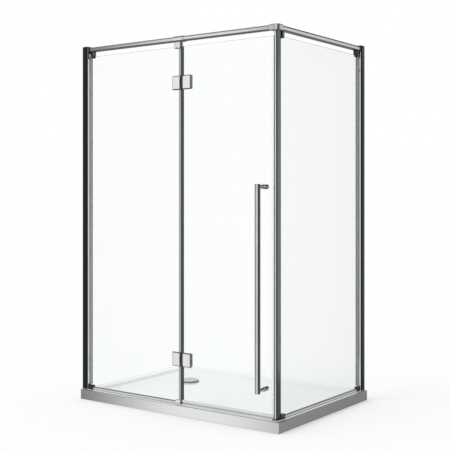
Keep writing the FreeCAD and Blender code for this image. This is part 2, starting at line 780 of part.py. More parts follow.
def adjusting_profile(wall):
    """Hollow profile that slides in the wall channel and holds the glass in a slot."""
    skin = S.channel_wall
    edge = INSERT_HALF - skin
    body = Body(f"adjusting_profile_{wall.name}")
    body.add("z", DECK, POST_TOP, wall.plan(
        (S.profile_start, -INSERT_HALF), (S.profile_reach, -INSERT_HALF),
        (S.profile_reach, -SLOT_HALF), (SLOT_FLOOR, -SLOT_HALF), (SLOT_FLOOR, SLOT_HALF),
        (S.profile_reach, SLOT_HALF), (S.profile_reach, INSERT_HALF),
        (S.profile_start, INSERT_HALF)),
        wall.plan_box(S.profile_start + skin, SLOT_FLOOR - skin, -edge, edge),
        wall.plan_box(SLOT_FLOOR, S.profile_reach - skin, -edge, -SLOT_HALF - skin),
        wall.plan_box(SLOT_FLOOR, S.profile_reach - skin, SLOT_HALF + skin, edge))
    keep(f"adjusting_profile_{wall.name}", body.body)


def glass_gasket(wall):
    """Vinyl U between the slot and the edge of the glass."""
    lip = S.profile_reach + S.gasket_proud
    body = Body(f"glass_gasket_{wall.name}")
    body.add("z", GLASS_FOOT, GLASS_TOP, wall.plan(
        (SLOT_FLOOR, -SLOT_HALF), (lip, -SLOT_HALF), (lip, -HALF_GLASS),
        (GLASS_REACH, -HALF_GLASS), (GLASS_REACH, HALF_GLASS), (lip, HALF_GLASS),
        (lip, SLOT_HALF), (SLOT_FLOOR, SLOT_HALF)))
    keep(f"glass_gasket_{wall.name}", body.body)


def profile_caps():
    """Cap over the top of each pair of profiles, with a round screw button."""
    caps = []
    for wall in WALLS:
        body = Body(f"profile_cap_{wall.name}")
        body.add("z", POST_TOP, S.frame_height,
                 wall.plan_box(0, S.profile_reach, -POST_HALF, POST_HALF))
        body.dress("Fillet", S.cap_thick, along("z"))
        middle = (wall.level(S.profile_reach / 2), wall.middle)
        place = middle if wall.axis == "x" else (middle[1], middle[0])
        body.add("z", S.frame_height, S.frame_height + S.button_rise,
                 circle(place, S.button_radius))
        caps.append(body.body)
    keep("profile_caps", group("profile_caps", *caps))


# ---------------------------------------------------------------- glass

def pane(name, axis, low, high, outline, holes):
    """Sheet of glass between two faces, ground along its edges, with drilled holes."""
    body = Body(name)
    body.add(axis, low, high, outline)
    body.dress("Chamfer", S.glass_arris, lambda edge: not along(axis)(edge))
    for hole in holes:
        body.cut(axis, low, high, hole)
    keep(name, body.body)


def screw_places(height, direction):
    """Places of a leaf's two screws: direction is -1 on the fixed glass and 1 on the door."""
    return [(HINGE_X + SCREW_OFFSET * direction, height + S.leaf_screw_pitch / 2 * side)
            for side in (-1, 1)]


def hinge_holes(direction):
    return [circle(place, S.leaf_hole) for height in HINGES.values()
            for place in screw_places(height, direction)]


def panes():
    pane("fixed_glass", "y", FRONT_FACE, REAR_FACE,
         rectangle((LEFT + GLASS_REACH, FIXED_EDGE), (GLASS_FOOT, GLASS_TOP)), hinge_holes(-1))
    handle_holes = [circle((HANDLE_X, height), S.handle_hole) for height in STANDOFFS.values()]
    pane("door_glass", "y", FRONT_FACE, REAR_FACE,
         rectangle((DOOR_EDGE, FREE_EDGE), (DOOR_FOOT, GLASS_TOP)), hinge_holes(1) + handle_holes)
    pane("side_glass", "x", SIDE_INNER, SIDE_OUTER,
         rectangle((SIDE_EDGE, BACK - GLASS_REACH), (GLASS_FOOT, GLASS_TOP)), [])


# ---------------------------------------------------------------- header rail

RAIL_REACH = S.profile_reach + S.bracket_plate
SOCKET_REACH = RAIL_REACH + S.socket_long
SLEEVE_LEFT = FIXED_EDGE - S.clamp_wide
SLEEVE_RIGHT = SLEEVE_LEFT + S.sleeve_long
RAIL_JOINT = SLEEVE_LEFT + S.sleeve_long / 2
SLEEVE_TOP = RAIL_TOP + S.sleeve_wall


def rail_section(across, grow):
    """The rail's rounded section about its middle, grown or shrunk all round."""
    half_wide = S.rail_wide / 2 + grow
    half_rise = S.rail_rise / 2 + grow
    return rounded((across - half_wide, across + half_wide),
                   (RAIL_MID - half_rise, RAIL_MID + half_rise), S.rail_corner + grow)


def rail(name, axis, across, low, high):
    """Length of rounded tube."""
    body = Body(name)
    body.add(axis, low, high, rail_section(across, 0), rail_section(across, -S.rail_wall))
    keep(name, body.body)


def rails():
    rail("header_rail_left", "x", GLASS_Y, LEFT + RAIL_REACH, RAIL_JOINT)
    rail("header_rail_right", "x", GLASS_Y, RAIL_JOINT, GLASS_X - ELBOW_HALF)
    rail("header_rail_side", "y", GLASS_X, GLASS_Y + ELBOW_HALF, BACK - RAIL_REACH)


def rail_sleeve():
    """Sleeve over the joint of the two front rails, with a set screw hole in each half."""
    body = Body("rail_sleeve")
    body.add("x", SLEEVE_LEFT, SLEEVE_RIGHT, rail_section(GLASS_Y, S.sleeve_wall),
             rail_section(GLASS_Y, S.rail_fit))
    back = GLASS_Y + ELBOW_HALF
    for place in (SLEEVE_LEFT + S.set_screw_inset, SLEEVE_RIGHT - S.set_screw_inset):
        body.cut("y", back - S.sleeve_wall, back, circle((place, RAIL_MID), S.clamp_screw))
    keep("rail_sleeve", body.body)


def outer_corner(edge):
    """True for the upright edge at the corner fitting's outer corner."""
    middle = edge.CenterOfMass
    off_x = abs(middle.x - (GLASS_X + ELBOW_HALF).value)
    off_y = abs(middle.y - (GLASS_Y - ELBOW_HALF).value)
    return along("z")(edge) and off_x + off_y < 0.01


def outer_rim(level):
    """Test for a level's edges on the corner fitting's outer faces and the round between."""
    def test(edge):
        box = edge.BoundBox
        on_front = abs(box.YMin - (GLASS_Y - ELBOW_HALF).value) < 0.01
        on_right = abs(box.XMax - (GLASS_X + ELBOW_HALF).value) < 0.01
        at_mouth = (box.XMax < (GLASS_X - ELBOW_HALF).value
                    or box.YMin > (GLASS_Y + ELBOW_HALF).value)
        return on_level("z", level)(edge) and (on_front or on_right) and not at_mouth
    return test


def corner_elbow():
    """Corner fitting: a rounded block with a socket for each rail."""
    half = ELBOW_HALF
    reach = ELBOW_END
    body = Body("corner_elbow")
    body.add("z", ELBOW_LOW, SLEEVE_TOP, polygon(
        (GLASS_X - reach, GLASS_Y - half), (GLASS_X + half, GLASS_Y - half),
        (GLASS_X + half, GLASS_Y + reach), (GLASS_X - half, GLASS_Y + reach),
        (GLASS_X - half, GLASS_Y + half), (GLASS_X - reach, GLASS_Y + half)))
    body.dress("Fillet", S.elbow_corner, outer_corner)
    body.dress("Fillet", S.elbow_round, outer_rim(SLEEVE_TOP))
    body.dress("Fillet", S.elbow_round, outer_rim(ELBOW_LOW))
    body.cut("x", GLASS_X - reach, GLASS_X - half, rail_section(GLASS_Y, S.rail_fit))
    body.cut("y", GLASS_Y + half, GLASS_Y + reach, rail_section(GLASS_X, S.rail_fit))
    keep("corner_elbow", body.body)


def rail_bracket(wall):
    """Plate on the adjusting profile with a socket for the rail's end."""
    plate = wall.span(S.profile_reach, RAIL_REACH)
    socket = wall.span(RAIL_REACH, SOCKET_REACH)
    body = Body(f"rail_bracket_{wall.name}")
    body.add(wall.axis, plate[0], plate[1], rounded(
        (wall.middle - INSERT_HALF, wall.middle + INSERT_HALF),
        (RAIL_LOW - S.bracket_plate, POST_TOP), S.clamp_corner))
    body.add(wall.axis, socket[0], socket[1], rail_section(wall.middle, S.sleeve_wall))
    body.cut(wall.axis, socket[0], socket[1], rail_section(wall.middle, S.rail_fit))
    keep(f"rail_bracket_{wall.name}", body.body)


# ---------------------------------------------------------------- upper clamps

CLAMP_HALF = S.clamp_deep / 2
CLAMP_SLOT = HALF_GLASS + S.clamp_pad


class Clamp:
    """Seat of an upper clamp: the axis that it runs along, where it starts, its width and top."""

    def __init__(self, name, axis, start, wide, top):
        self.name = name
        self.axis = axis
        self.wide = wide
        self.top = top
        self.run = (start, start + wide)
        self.across = "y" if axis == "x" else "x"
        self.middle = GLASS_Y if axis == "x" else GLASS_X
        self.outward = -1 if axis == "x" else 1

    def jaw(self, near, far, outward):
        """Span across the glass between two distances from its middle, on one side of it."""
        ends = (self.middle + near * outward, self.middle + far * outward)
        return ends if outward > 0 else (ends[1], ends[0])

    def screw_place(self):
        return (self.run[0] + self.wide / 2, GLASS_TOP - S.clamp_bite / 2)

    def spans(self, across, z):
        """X, Y and Z spans of a block as long as the clamp."""
        return (self.run, across, z) if self.axis == "x" else (across, self.run, z)


CLAMPS = [
    Clamp("left", "x", LEFT + SOCKET_REACH + S.clamp_gap, S.end_clamp_wide, RAIL_LOW),
    Clamp("centre", "x", SLEEVE_LEFT, S.clamp_wide, ELBOW_LOW),
    Clamp("corner", "y", GLASS_Y + ELBOW_END + S.clamp_gap, S.end_clamp_wide, RAIL_LOW),
    Clamp("rear", "y", BACK - SOCKET_REACH - S.clamp_gap - S.end_clamp_wide, S.end_clamp_wide,
          RAIL_LOW),
]


def top_clamp(seat):
    """Block under the rail with a slot for the glass and a screw hole through its outer jaw."""
    body = Body(f"top_clamp_{seat.name}")
    body.add(seat.across, seat.middle - CLAMP_HALF, seat.middle + CLAMP_HALF,
             rectangle(seat.run, (CLAMP_LOW, seat.top)))
    body.dress("Fillet", S.clamp_corner, lambda edge: (
        along(seat.across)(edge) and abs(edge.CenterOfMass.z - CLAMP_LOW.value) < 0.01))
    x, y, z = seat.spans((seat.middle - CLAMP_SLOT, seat.middle + CLAMP_SLOT),
                         (CLAMP_LOW, GLASS_TOP + S.clamp_pad))
    body.cut("z", z[0], z[1], rectangle(x, y))
    low, high = seat.jaw(CLAMP_SLOT, CLAMP_HALF, seat.outward)
    body.cut(seat.across, low, high, circle(seat.screw_place(), S.clamp_screw + S.screw_fit))
    keep(f"top_clamp_{seat.name}", body.body)


def clamp_pads():
    """Thin pads between each upper clamp and both faces of the glass."""
    pads = []
    for seat in CLAMPS:
        for side in (-1, 1):
            across = seat.jaw(HALF_GLASS, CLAMP_SLOT, side)
            z = (CLAMP_LOW + S.pad_inset, GLASS_TOP - S.glass_arris)
            tag = "outer" if side == seat.outward else "inner"
            pads.append(block(f"pad_{seat.name}_{tag}", *seat.spans(across, z)))
    keep("clamp_pads", group("clamp_pads", *pads))


def clamp_screws():
    """Screw in the outer jaw of each upper clamp, bearing on the pad."""
    screws = []
    for seat in CLAMPS:
        low, high = seat.jaw(CLAMP_SLOT, CLAMP_HALF + S.screw_proud, seat.outward)
        screws.append(rod(f"clamp_screw_{seat.name}", seat.across, seat.screw_place(),
                          S.clamp_screw, low, high))
    keep("clamp_screws", group("clamp_screws", *screws))


# ---------------------------------------------------------------- lower brackets and channels

FOOT_START = S.profile_reach + S.clamp_gap
FOOT_END = FOOT_START + S.bracket_wide
FOOT_TOP = DECK + S.bracket_rise
FOOT_SLOT = HALF_GLASS + S.bracket_slot_gap
PLATE_TOP = DECK + S.foot_plate
CENTRE_START = FIXED_EDGE - S.bracket_wide
CENTRE_END = HINGE_X + S.foot_reach
CORNER_START = FREE_EDGE - S.corner_reach
CORNER_END = STRIKE_BACK + S.corner_clamp_lift + S.corner_clamp


def wall_foot_brackets():
    """Small block on the tray beside each wall profile, slotted for the glass."""
    blocks = []
    for wall in WALLS:
        reach = (FOOT_START, FOOT_END)
        base = wall.block(f"foot_block_{wall.name}", reach, (-CLAMP_HALF, CLAMP_HALF),
                          (DECK, FOOT_TOP))
        slot = wall.block(f"foot_slot_{wall.name}", reach, (-FOOT_SLOT, FOOT_SLOT),
                          (GLASS_FOOT, FOOT_TOP))
        blocks.append(without(f"wall_foot_bracket_{wall.name}", base, slot))
    keep("wall_foot_brackets", group("wall_foot_brackets", *blocks))


def centre_foot_bracket():
    """Bracket at the fixed glass's free corner, on a foot that runs on under the door."""
    low = GLASS_Y - CLAMP_HALF
    high = GLASS_Y + CLAMP_HALF
    body = Body("centre_foot_bracket")
    body.add("z", DECK, PLATE_TOP, rounded((CENTRE_START, CENTRE_END), (low, high),
                                           S.clamp_corner))
    body.add("y", low, high, rectangle((CENTRE_START, FIXED_EDGE), (PLATE_TOP, FOOT_TOP)))
    body.dress("Fillet", S.clamp_corner, lambda edge: (
        along("y")(edge) and abs(edge.CenterOfMass.z - FOOT_TOP.value) < 0.01))
    body.cut("z", GLASS_FOOT, FOOT_TOP,
             rectangle((CENTRE_START, FIXED_EDGE), (GLASS_Y - FOOT_SLOT, GLASS_Y + FOOT_SLOT)))
    keep("centre_foot_bracket", body.body)


def corner_foot_bracket():
    """Foot under the corner profile, with a raised clamp on the side glass behind it."""
    left = GLASS_X - CLAMP_HALF
    right = GLASS_X + CLAMP_HALF
    front = GLASS_Y - CLAMP_HALF
    lift = DECK + S.corner_clamp_lift
    body = Body("corner_foot_bracket")
    body.add("z", DECK, PLATE_TOP, polygon(
        (CORNER_START, front), (right, front), (right, CORNER_END), (left, CORNER_END),
        (left, STRIKE_BACK), (CORNER_START, STRIKE_BACK)))
    body.add("x", left, right, rounded(
        (STRIKE_BACK + S.corner_clamp_lift, CORNER_END), (lift, lift + S.bracket_rise),
        S.corner_clamp_round))
    body.cut("z", GLASS_FOOT, lift + S.bracket_rise,
             rectangle((GLASS_X - FOOT_SLOT, GLASS_X + FOOT_SLOT), (SIDE_EDGE, CORNER_END)))
    keep("corner_foot_bracket", body.body)


def low_channel_section(middle):
    """U section that holds the lower edge of a fixed glass."""
    outer = HALF_GLASS + S.low_gap + S.low_wall
    inner = HALF_GLASS + S.low_gap
    top = DECK + S.low_rise
    return polygon((middle - outer, DECK), (middle + outer, DECK), (middle + outer, top),
                   (middle + inner, top), (middle + inner, GLASS_FOOT),
                   (middle - inner, GLASS_FOOT), (middle - inner, top), (middle - outer, top))


def low_channels():
    front = Body("low_channel_front")
    front.add("x", LEFT + FOOT_END, CENTRE_START, low_channel_section(GLASS_Y))
    keep("low_channel_front", front.body)
    side = Body("low_channel_side")
    side.add("y", CORNER_END, BACK - FOOT_END, low_channel_section(GLASS_X))
    keep("low_channel_side", side.body)


def door_sill():
    """Sloping strip on the rim that turns water back in under the door."""
    toe = FRONT + S.apron_flange + S.sill_toe_gap
    back = GLASS_Y + S.sill_back
    top = DECK + S.sill_rise
    body = Body("door_sill")
    body.add("x", CENTRE_END, CORNER_START, polygon(
        (toe, DECK), (back, DECK), (back, top), (back - S.sill_top, top),
        (toe, DECK + S.sill_toe_rise)))
    keep("door_sill", body.body)


# ---------------------------------------------------------------- corner profile and seals

PROFILE_HALF = HALF_GLASS + S.strike_wall
MAGNET_END = FREE_EDGE + S.seal_wall + S.magnet_deep


def corner_profile():
    """U profile over the front edge of the side glass, from the corner's foot to the elbow."""
    body = Body("corner_profile")
    body.add("z", PLATE_TOP, ELBOW_LOW, polygon(
        (GLASS_X - PROFILE_HALF, STRIKE_FRONT), (GLASS_X + PROFILE_HALF, STRIKE_FRONT),
        (GLASS_X + PROFILE_HALF, STRIKE_BACK), (SIDE_OUTER, STRIKE_BACK),
        (SIDE_OUTER, SIDE_EDGE), (SIDE_INNER, SIDE_EDGE), (SIDE_INNER, STRIKE_BACK),
        (GLASS_X - PROFILE_HALF, STRIKE_BACK)))
    keep("corner_profile", body.body)


def corner_magnet_seal():
    """Magnet strip round the front of the corner profile, facing the door's free edge."""
    start = MAGNET_END + S.magnet_gap
    face = STRIKE_FRONT - S.strike_face
    body = Body("corner_magnet_seal")
    body.add("z", PLATE_TOP, ELBOW_LOW, polygon(
        (start, face), (GLASS_X + PROFILE_HALF, face), (GLASS_X + PROFILE_HALF, STRIKE_FRONT),
        (GLASS_X - PROFILE_HALF, STRIKE_FRONT), (GLASS_X - PROFILE_HALF, face + S.strike_magnet),
        (start, face + S.strike_magnet)))
    keep("corner_magnet_seal", body.body)


def door_magnet_seal():
    """Seal pushed on the door's free edge, with a magnet strip along its outside."""
    wall = S.seal_wall
    heel = FREE_EDGE - S.seal_leg
    web = FREE_EDGE + wall
    body = Body("door_magnet_seal")
    body.add("z", DOOR_FOOT + S.sweep_leg, GLASS_TOP, polygon(
        (heel, FRONT_FACE - wall), (web, FRONT_FACE - wall), (web, FRONT_FACE),
        (MAGNET_END, FRONT_FACE), (MAGNET_END, REAR_FACE), (web, REAR_FACE),
        (web, REAR_FACE + wall), (heel, REAR_FACE + wall), (heel, REAR_FACE),
        (FREE_EDGE, REAR_FACE), (FREE_EDGE, FRONT_FACE), (heel, FRONT_FACE)))
    keep("door_magnet_seal", body.body)


def door_sweep():
    """Seal pushed on the door's lower edge, with a fin down to the sill."""
    wall = S.seal_wall
    base = DOOR_FOOT - wall
    top = DOOR_FOOT + S.sweep_leg
    fin = FRONT_FACE + S.sweep_fin_inset
    fin_low = base - S.sweep_fin
    body = Body("door_sweep")
    body.add("x", DOOR_EDGE, FREE_EDGE, polygon(
        (FRONT_FACE - wall, top), (FRONT_FACE - wall, base), (fin, base), (fin, fin_low),
        (fin + wall, fin_low), (fin + wall, base), (REAR_FACE + wall, base),
        (REAR_FACE + wall, top), (REAR_FACE, top), (REAR_FACE, DOOR_FOOT),
        (FRONT_FACE, DOOR_FOOT), (FRONT_FACE, top)))
    keep("door_sweep", body.body)


def hinge_side_seal():
    """Seal on the fixed glass's free edge in three lengths, broken at the two hinges."""
    wall = S.seal_wall
    heel = FIXED_EDGE - S.seal_leg
    web = FIXED_EDGE + wall
    fin_end = DOOR_EDGE - S.seal_fin_gap
    fin_front = GLASS_Y - S.fin_thick / 2
    fin_back = GLASS_Y + S.fin_thick / 2
    body = Body("hinge_side_seal_strip")
    body.add("z", FOOT_TOP, CLAMP_LOW, polygon(
        (heel, FRONT_FACE - wall), (web, FRONT_FACE - wall), (web, fin_front),
        (fin_end, fin_front), (fin_end, fin_back), (web, fin_back), (web, REAR_FACE + wall),
        (heel, REAR_FACE + wall), (heel, REAR_FACE), (FIXED_EDGE, REAR_FACE),
        (FIXED_EDGE, FRONT_FACE), (heel, FRONT_FACE)))
    half = S.leaf_tall / 2 + S.leaf_pad
    breaks = [block(f"seal_break_{name}", (heel, DOOR_EDGE),
                    (FRONT_FACE - wall, REAR_FACE + wall), (height - half, height + half))
              for name, height in HINGES.items()]
    keep("hinge_side_seal", without("hinge_side_seal", body.body, *breaks))


# ---------------------------------------------------------------- hinges

LEAF_FRONT = LEAF_BACK - S.leaf_thick
BACKPLATE_FRONT = REAR_FACE + S.leaf_pad
BACKPLATE_BACK = BACKPLATE_FRONT + S.leaf_thick
LEAF_HALF = S.leaf_tall / 2
SIDES = {"fixed": -1, "door": 1}


def leaf_span(direction, inset=0):
    """Span of a leaf along the glass, drawn in at both ends by an inset."""
    near = HINGE_X + (LEAF_SIDE + inset) * direction
    far = HINGE_X + (LEAF_SIDE + S.leaf_wide - inset) * direction
    return (near, far) if direction > 0 else (far, near)


def hinge_leaf(name, height, direction, knuckles):
    """Front leaf with its knuckles on the axis and blind holes for two screws."""
    axis = (HINGE_X, HINGE_Y)
    body = Body(name)
    body.add("y", LEAF_FRONT, LEAF_BACK, rounded(
        leaf_span(direction), (height - LEAF_HALF, height + LEAF_HALF), S.leaf_corner))
    body.dress("Fillet", S.leaf_edge, on_level("y", LEAF_FRONT))
    web_end = HINGE_X + (LEAF_SIDE + S.web_lap) * direction
    web = (HINGE_X, web_end) if direction > 0 else (web_end, HINGE_X)
    web_front = HINGE_Y - S.knuckle_radius + S.web_inset
    for low, high in knuckles:
        body.add("z", low, high, rectangle(web, (web_front, LEAF_BACK)))
        body.add("z", low, high, circle(axis, S.knuckle_radius))
        body.cut("z", low, high, circle(axis, S.pin_radius + S.pin_fit))
    for place in screw_places(height, direction):
        body.cut("y", LEAF_FRONT + S.leaf_skin, LEAF_BACK,
                 circle(place, S.leaf_screw + S.screw_fit))
    keep(name, body.body)


def hinge_leaves():
    """Front leaves: two outer knuckles on the fixed side, one between them on the door's."""
    inner = LEAF_HALF - S.knuckle_tall
    for name, height in HINGES.items():
        outer_knuckles = [(height - LEAF_HALF, height - inner),
                          (height + inner, height + LEAF_HALF)]
        middle_knuckle = [(height - inner + S.knuckle_gap, height + inner - S.knuckle_gap)]
        hinge_leaf(f"{name}_hinge_fixed_leaf", height, SIDES["fixed"], outer_knuckles)
        hinge_leaf(f"{name}_hinge_door_leaf", height, SIDES["door"], middle_knuckle)


def hinge_pins():
    pins = [rod(f"hinge_pin_{name}", "z", (HINGE_X, HINGE_Y), S.pin_radius,
                height - LEAF_HALF, height + LEAF_HALF) for name, height in HINGES.items()]
    keep("hinge_pins", group("hinge_pins", *pins))


def hinge_backplates(side, direction):
    """Inner clamping plates on one side of the axis, recessed for the screw heads."""
    plates = []
    for name, height in HINGES.items():
        body = Body(f"{name}_{side}_backplate")
        body.add("y", BACKPLATE_FRONT, BACKPLATE_BACK, rounded(
            leaf_span(direction), (height - LEAF_HALF, height + LEAF_HALF), S.leaf_corner))
        body.dress("Fillet", S.leaf_edge, on_level("y", BACKPLATE_BACK))
        for place in screw_places(height, direction):
            body.cut("y", BACKPLATE_FRONT, BACKPLATE_BACK,
                     circle(place, S.leaf_screw + S.screw_fit))
            body.cut("y", BACKPLATE_BACK - S.head_deep, BACKPLATE_BACK,
                     circle(place, S.leaf_screw_head + S.screw_fit))
        plates.append(body.body)
    node = f"hinge_backplates_{side}"
    keep(node, group(node, *plates))


def hinge_gaskets(side, direction):
    """Gasket on each face of the glass, the front one with a bush through each hole."""
    pieces = []
    x = leaf_span(direction, S.gasket_inset)
    half = LEAF_HALF - S.gasket_inset
    faces = {"front": (LEAF_BACK, FRONT_FACE), "rear": (REAR_FACE, BACKPLATE_FRONT)}
    for name, height in HINGES.items():
        for face, y in faces.items():
            tag = f"{name}_{side}_{face}_gasket"
            blank = block(f"{tag}_sheet", x, y, (height - half, height + half))
            places = screw_places(height, direction)
            if face == "front":
                bushes = [rod(f"{tag}_bush_{number}", "y", place, S.leaf_hole - S.joint_fit,
                              FRONT_FACE, REAR_FACE)
                          for number, place in enumerate(places, start=1)]
                blank = joined(f"{tag}_blank", blank, *bushes)
            bores = [rod(f"{tag}_bore_{number}", "y", place, S.leaf_screw + S.joint_fit,
                         LEAF_BACK, BACKPLATE_FRONT)
                     for number, place in enumerate(places, start=1)]
            pieces.append(without(tag, blank, *bores))
    node = f"hinge_gaskets_{side}"
    keep(node, group(node, *pieces))


def hinge_screws(side, direction):
    """Screws from the inner plates through the glass into the front leaves."""
    screws = []
    seat = BACKPLATE_BACK - S.head_deep
    for name, height in HINGES.items():
        for number, place in enumerate(screw_places(height, direction), start=1):
            tag = f"{name}_{side}_screw_{number}"
            shank = rod(f"{tag}_shank", "y", place, S.leaf_screw,
                        LEAF_FRONT + S.leaf_skin + S.screw_end_gap, seat)
            head = rod(f"{tag}_head", "y", place, S.leaf_screw_head, seat,
                       BACKPLATE_BACK - S.head_sink)
            screws.append(joined(tag, shank, head))
    node = f"hinge_screws_{side}"
    keep(node, group(node, *screws))


# ---------------------------------------------------------------- handle

COLLAR_BACK = FRONT_FACE - S.handle_pad
COLLAR_FRONT = COLLAR_BACK - S.collar_long
KNOB_FRONT = REAR_FACE + S.handle_pad
KNOB_BACK = KNOB_FRONT + S.knob_long
BAR_CENTRE = (HANDLE_X, HANDLE_Y)


def handle_bar():
    """Round tube between its two end caps."""
    body = Body("handle_bar")
    body.add("z", S.handle_low + S.cap_rise, HANDLE_TOP - S.cap_rise,
             circle(BAR_CENTRE, S.handle_radius),
             circle(BAR_CENTRE, S.handle_radius - S.handle_wall))
    keep("handle_bar", body.body)


def handle_end_caps():
    """Cap on each end of the tube, with a plug inside it."""
    plug_radius = S.handle_radius - S.handle_wall - S.joint_fit
    rise = S.cap_rise
    lower = Body("handle_cap_lower")
    lower.add("z", S.handle_low, S.handle_low + rise, circle(BAR_CENTRE, S.handle_radius))
    lower.dress("Chamfer", S.cap_bevel, on_level("z", S.handle_low))
    lower.add("z", S.handle_low + rise, S.handle_low + rise * 2, circle(BAR_CENTRE, plug_radius))
    upper = Body("handle_cap_upper")
    upper.add("z", HANDLE_TOP - rise, HANDLE_TOP, circle(BAR_CENTRE, S.handle_radius))
    upper.dress("Chamfer", S.cap_bevel, on_level("z", HANDLE_TOP))
    upper.add("z", HANDLE_TOP - rise * 2, HANDLE_TOP - rise, circle(BAR_CENTRE, plug_radius))
    keep("handle_end_caps", group("handle_end_caps", lower.body, upper.body))


def handle_standoffs():
    """Round standoffs from the bar to a collar at the glass, saddled on the bar."""
    pieces = []
    for name, height in STANDOFFS.items():
        place = (HANDLE_X, height)
        stem = rod(f"standoff_stem_{name}", "y", place, S.stand_radius, HANDLE_Y, COLLAR_FRONT)
        collar = rod(f"standoff_collar_{name}", "y", place, S.collar_radius, COLLAR_FRONT,
                     COLLAR_BACK)
        saddle = rod(f"standoff_saddle_{name}", "z", BAR_CENTRE, S.handle_radius + S.screw_fit,
                     height - S.stand_radius * 2, height + S.stand_radius * 2)
        thread = rod(f"standoff_thread_{name}", "y", place, S.stud_radius + S.screw_fit,
                     COLLAR_BACK - S.stud_grip - S.stud_end_gap, COLLAR_BACK)
        blank = joined(f"standoff_blank_{name}", stem, collar)
        pieces.append(without(f"standoff_{name}", blank, saddle, thread))
    keep("handle_standoffs", group("handle_standoffs", *pieces))


def handle_gaskets():
    """Ring on each face of the glass; the outer one carries a bush through the hole."""
    rings = []
    for name, height in STANDOFFS.items():
        place = (HANDLE_X, height)
        ring = rod(f"handle_ring_{name}", "y", place, S.collar_radius, COLLAR_BACK, FRONT_FACE)
        bush = rod(f"handle_bush_{name}", "y", place, S.handle_hole - S.joint_fit, FRONT_FACE,
                   REAR_FACE)
        disc = rod(f"handle_disc_{name}", "y", place, S.knob_radius, REAR_FACE, KNOB_FRONT)
        bores = [rod(f"handle_{part}_bore_{name}", "y", place, S.stud_radius + S.joint_fit,
                     COLLAR_BACK, KNOB_FRONT) for part in ("ring", "disc")]
        blank = joined(f"handle_blank_{name}", ring, bush)
        rings.append(without(f"handle_outer_gasket_{name}", blank, bores[0]))
        rings.append(without(f"handle_inner_gasket_{name}", disc, bores[1]))
    keep("handle_gaskets", group("handle_gaskets", *rings))


def handle_inner_knobs():
    """Knob inside the door with the stud that holds the handle on."""
    knobs = []
    for name, height in STANDOFFS.items():
        place = (HANDLE_X, height)
        body = Body(f"handle_knob_{name}")
        body.add("y", KNOB_FRONT, KNOB_BACK, circle(place, S.knob_radius))
        body.dress("Fillet", S.knob_round, on_level("y", KNOB_BACK))
        body.add("y", COLLAR_BACK - S.stud_grip, KNOB_FRONT, circle(place, S.stud_radius))
        knobs.append(body.body)
    keep("handle_inner_knobs", group("handle_inner_knobs", *knobs))


# ---------------------------------------------------------------- assembly

tray_shell()
tray_base_board()
levelling_feet()
aprons()
waste_body()
waste_rings()
waste_cover()
for wall in WALLS:
    wall_channel(wall)
    adjusting_profile(wall)
    glass_gasket(wall)
    rail_bracket(wall)
profile_caps()
panes()
rails()
rail_sleeve()
corner_elbow()
for seat in CLAMPS:
    top_clamp(seat)
clamp_pads()
clamp_screws()
wall_foot_brackets()
centre_foot_bracket()
corner_foot_bracket()
low_channels()
door_sill()
corner_profile()
corner_magnet_seal()
door_magnet_seal()
door_sweep()
hinge_side_seal()
hinge_leaves()
hinge_pins()
for side, direction in SIDES.items():
    hinge_backplates(side, direction)
    hinge_gaskets(side, direction)
    hinge_screws(side, direction)
handle_bar()
handle_end_caps()
handle_standoffs()
handle_gaskets()
handle_inner_knobs()

doc.recompute()

failed = [item.Label for item in doc.Objects
          if "Invalid" in item.State or "Error" in item.State]
failed += [name for name, item in nodes.items()
           if item.Shape.isNull() or not item.Shape.isValid()]
if failed:
    raise RuntimeError("Failed: " + ", ".join(failed))

os.makedirs("parts", exist_ok=True)
for name, item in nodes.items():
    item.Shape.exportStep(f"parts/{name}.step")
    print(f"{name}: {len(item.Shape.Solids)} solid(s), {item.Shape.Volume / 1000:.1f} cm3")
print(len(nodes), "nodes")
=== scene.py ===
"""Looks of the shower enclosure: clear toughened glass, chrome fittings, bright aluminium profiles
and a white acrylic tray with a metal apron, in a plain pale studio."""

import json
import math

import bmesh
import bpy
import numpy as np
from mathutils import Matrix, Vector


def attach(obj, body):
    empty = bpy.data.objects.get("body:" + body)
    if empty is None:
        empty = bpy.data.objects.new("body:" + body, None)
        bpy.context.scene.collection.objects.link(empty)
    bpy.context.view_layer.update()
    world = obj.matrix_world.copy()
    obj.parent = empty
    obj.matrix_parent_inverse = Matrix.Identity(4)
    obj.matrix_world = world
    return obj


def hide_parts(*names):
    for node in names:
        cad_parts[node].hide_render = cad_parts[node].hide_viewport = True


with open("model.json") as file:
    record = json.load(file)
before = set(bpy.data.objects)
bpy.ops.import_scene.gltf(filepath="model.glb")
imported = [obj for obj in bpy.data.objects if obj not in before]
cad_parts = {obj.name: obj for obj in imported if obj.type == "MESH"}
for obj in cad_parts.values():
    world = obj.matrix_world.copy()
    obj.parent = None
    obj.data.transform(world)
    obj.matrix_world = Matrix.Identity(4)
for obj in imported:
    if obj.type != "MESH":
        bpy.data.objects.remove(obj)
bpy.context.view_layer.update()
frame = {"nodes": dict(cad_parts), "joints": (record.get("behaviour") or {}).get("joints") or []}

SCENE = bpy.context.scene
MM = 0.001
AXIS = {"x": 0, "y": 1, "z": 2}

# ---------------------------------------------------------------- places in mm, from the frame


def spans_of(part):
    """Lowest and highest place of a CAD node on x, y and z."""
    flat = np.empty(3 * len(part.data.vertices), np.float32)
    part.data.vertices.foreach_get("co", flat)
    places = flat.reshape(-1, 3).astype(float) / MM
    return np.stack([places.min(0), places.max(0)], -1).round(2).tolist()


def middle(span):
    """Halfway between a span's two ends."""
    return sum(span) / 2


SPANS = {name: spans_of(part) for name, part in frame["nodes"].items()}

# tray, seen from above, and the top of its rim
(LEFT, RIGHT), (FRONT, _), _ = SPANS["apron_front"]
_, (_, BACK), (_, DECK) = SPANS["tray_shell"]
WASTE_AXIS = tuple(middle(span) for span in SPANS["waste_cover"][:2])
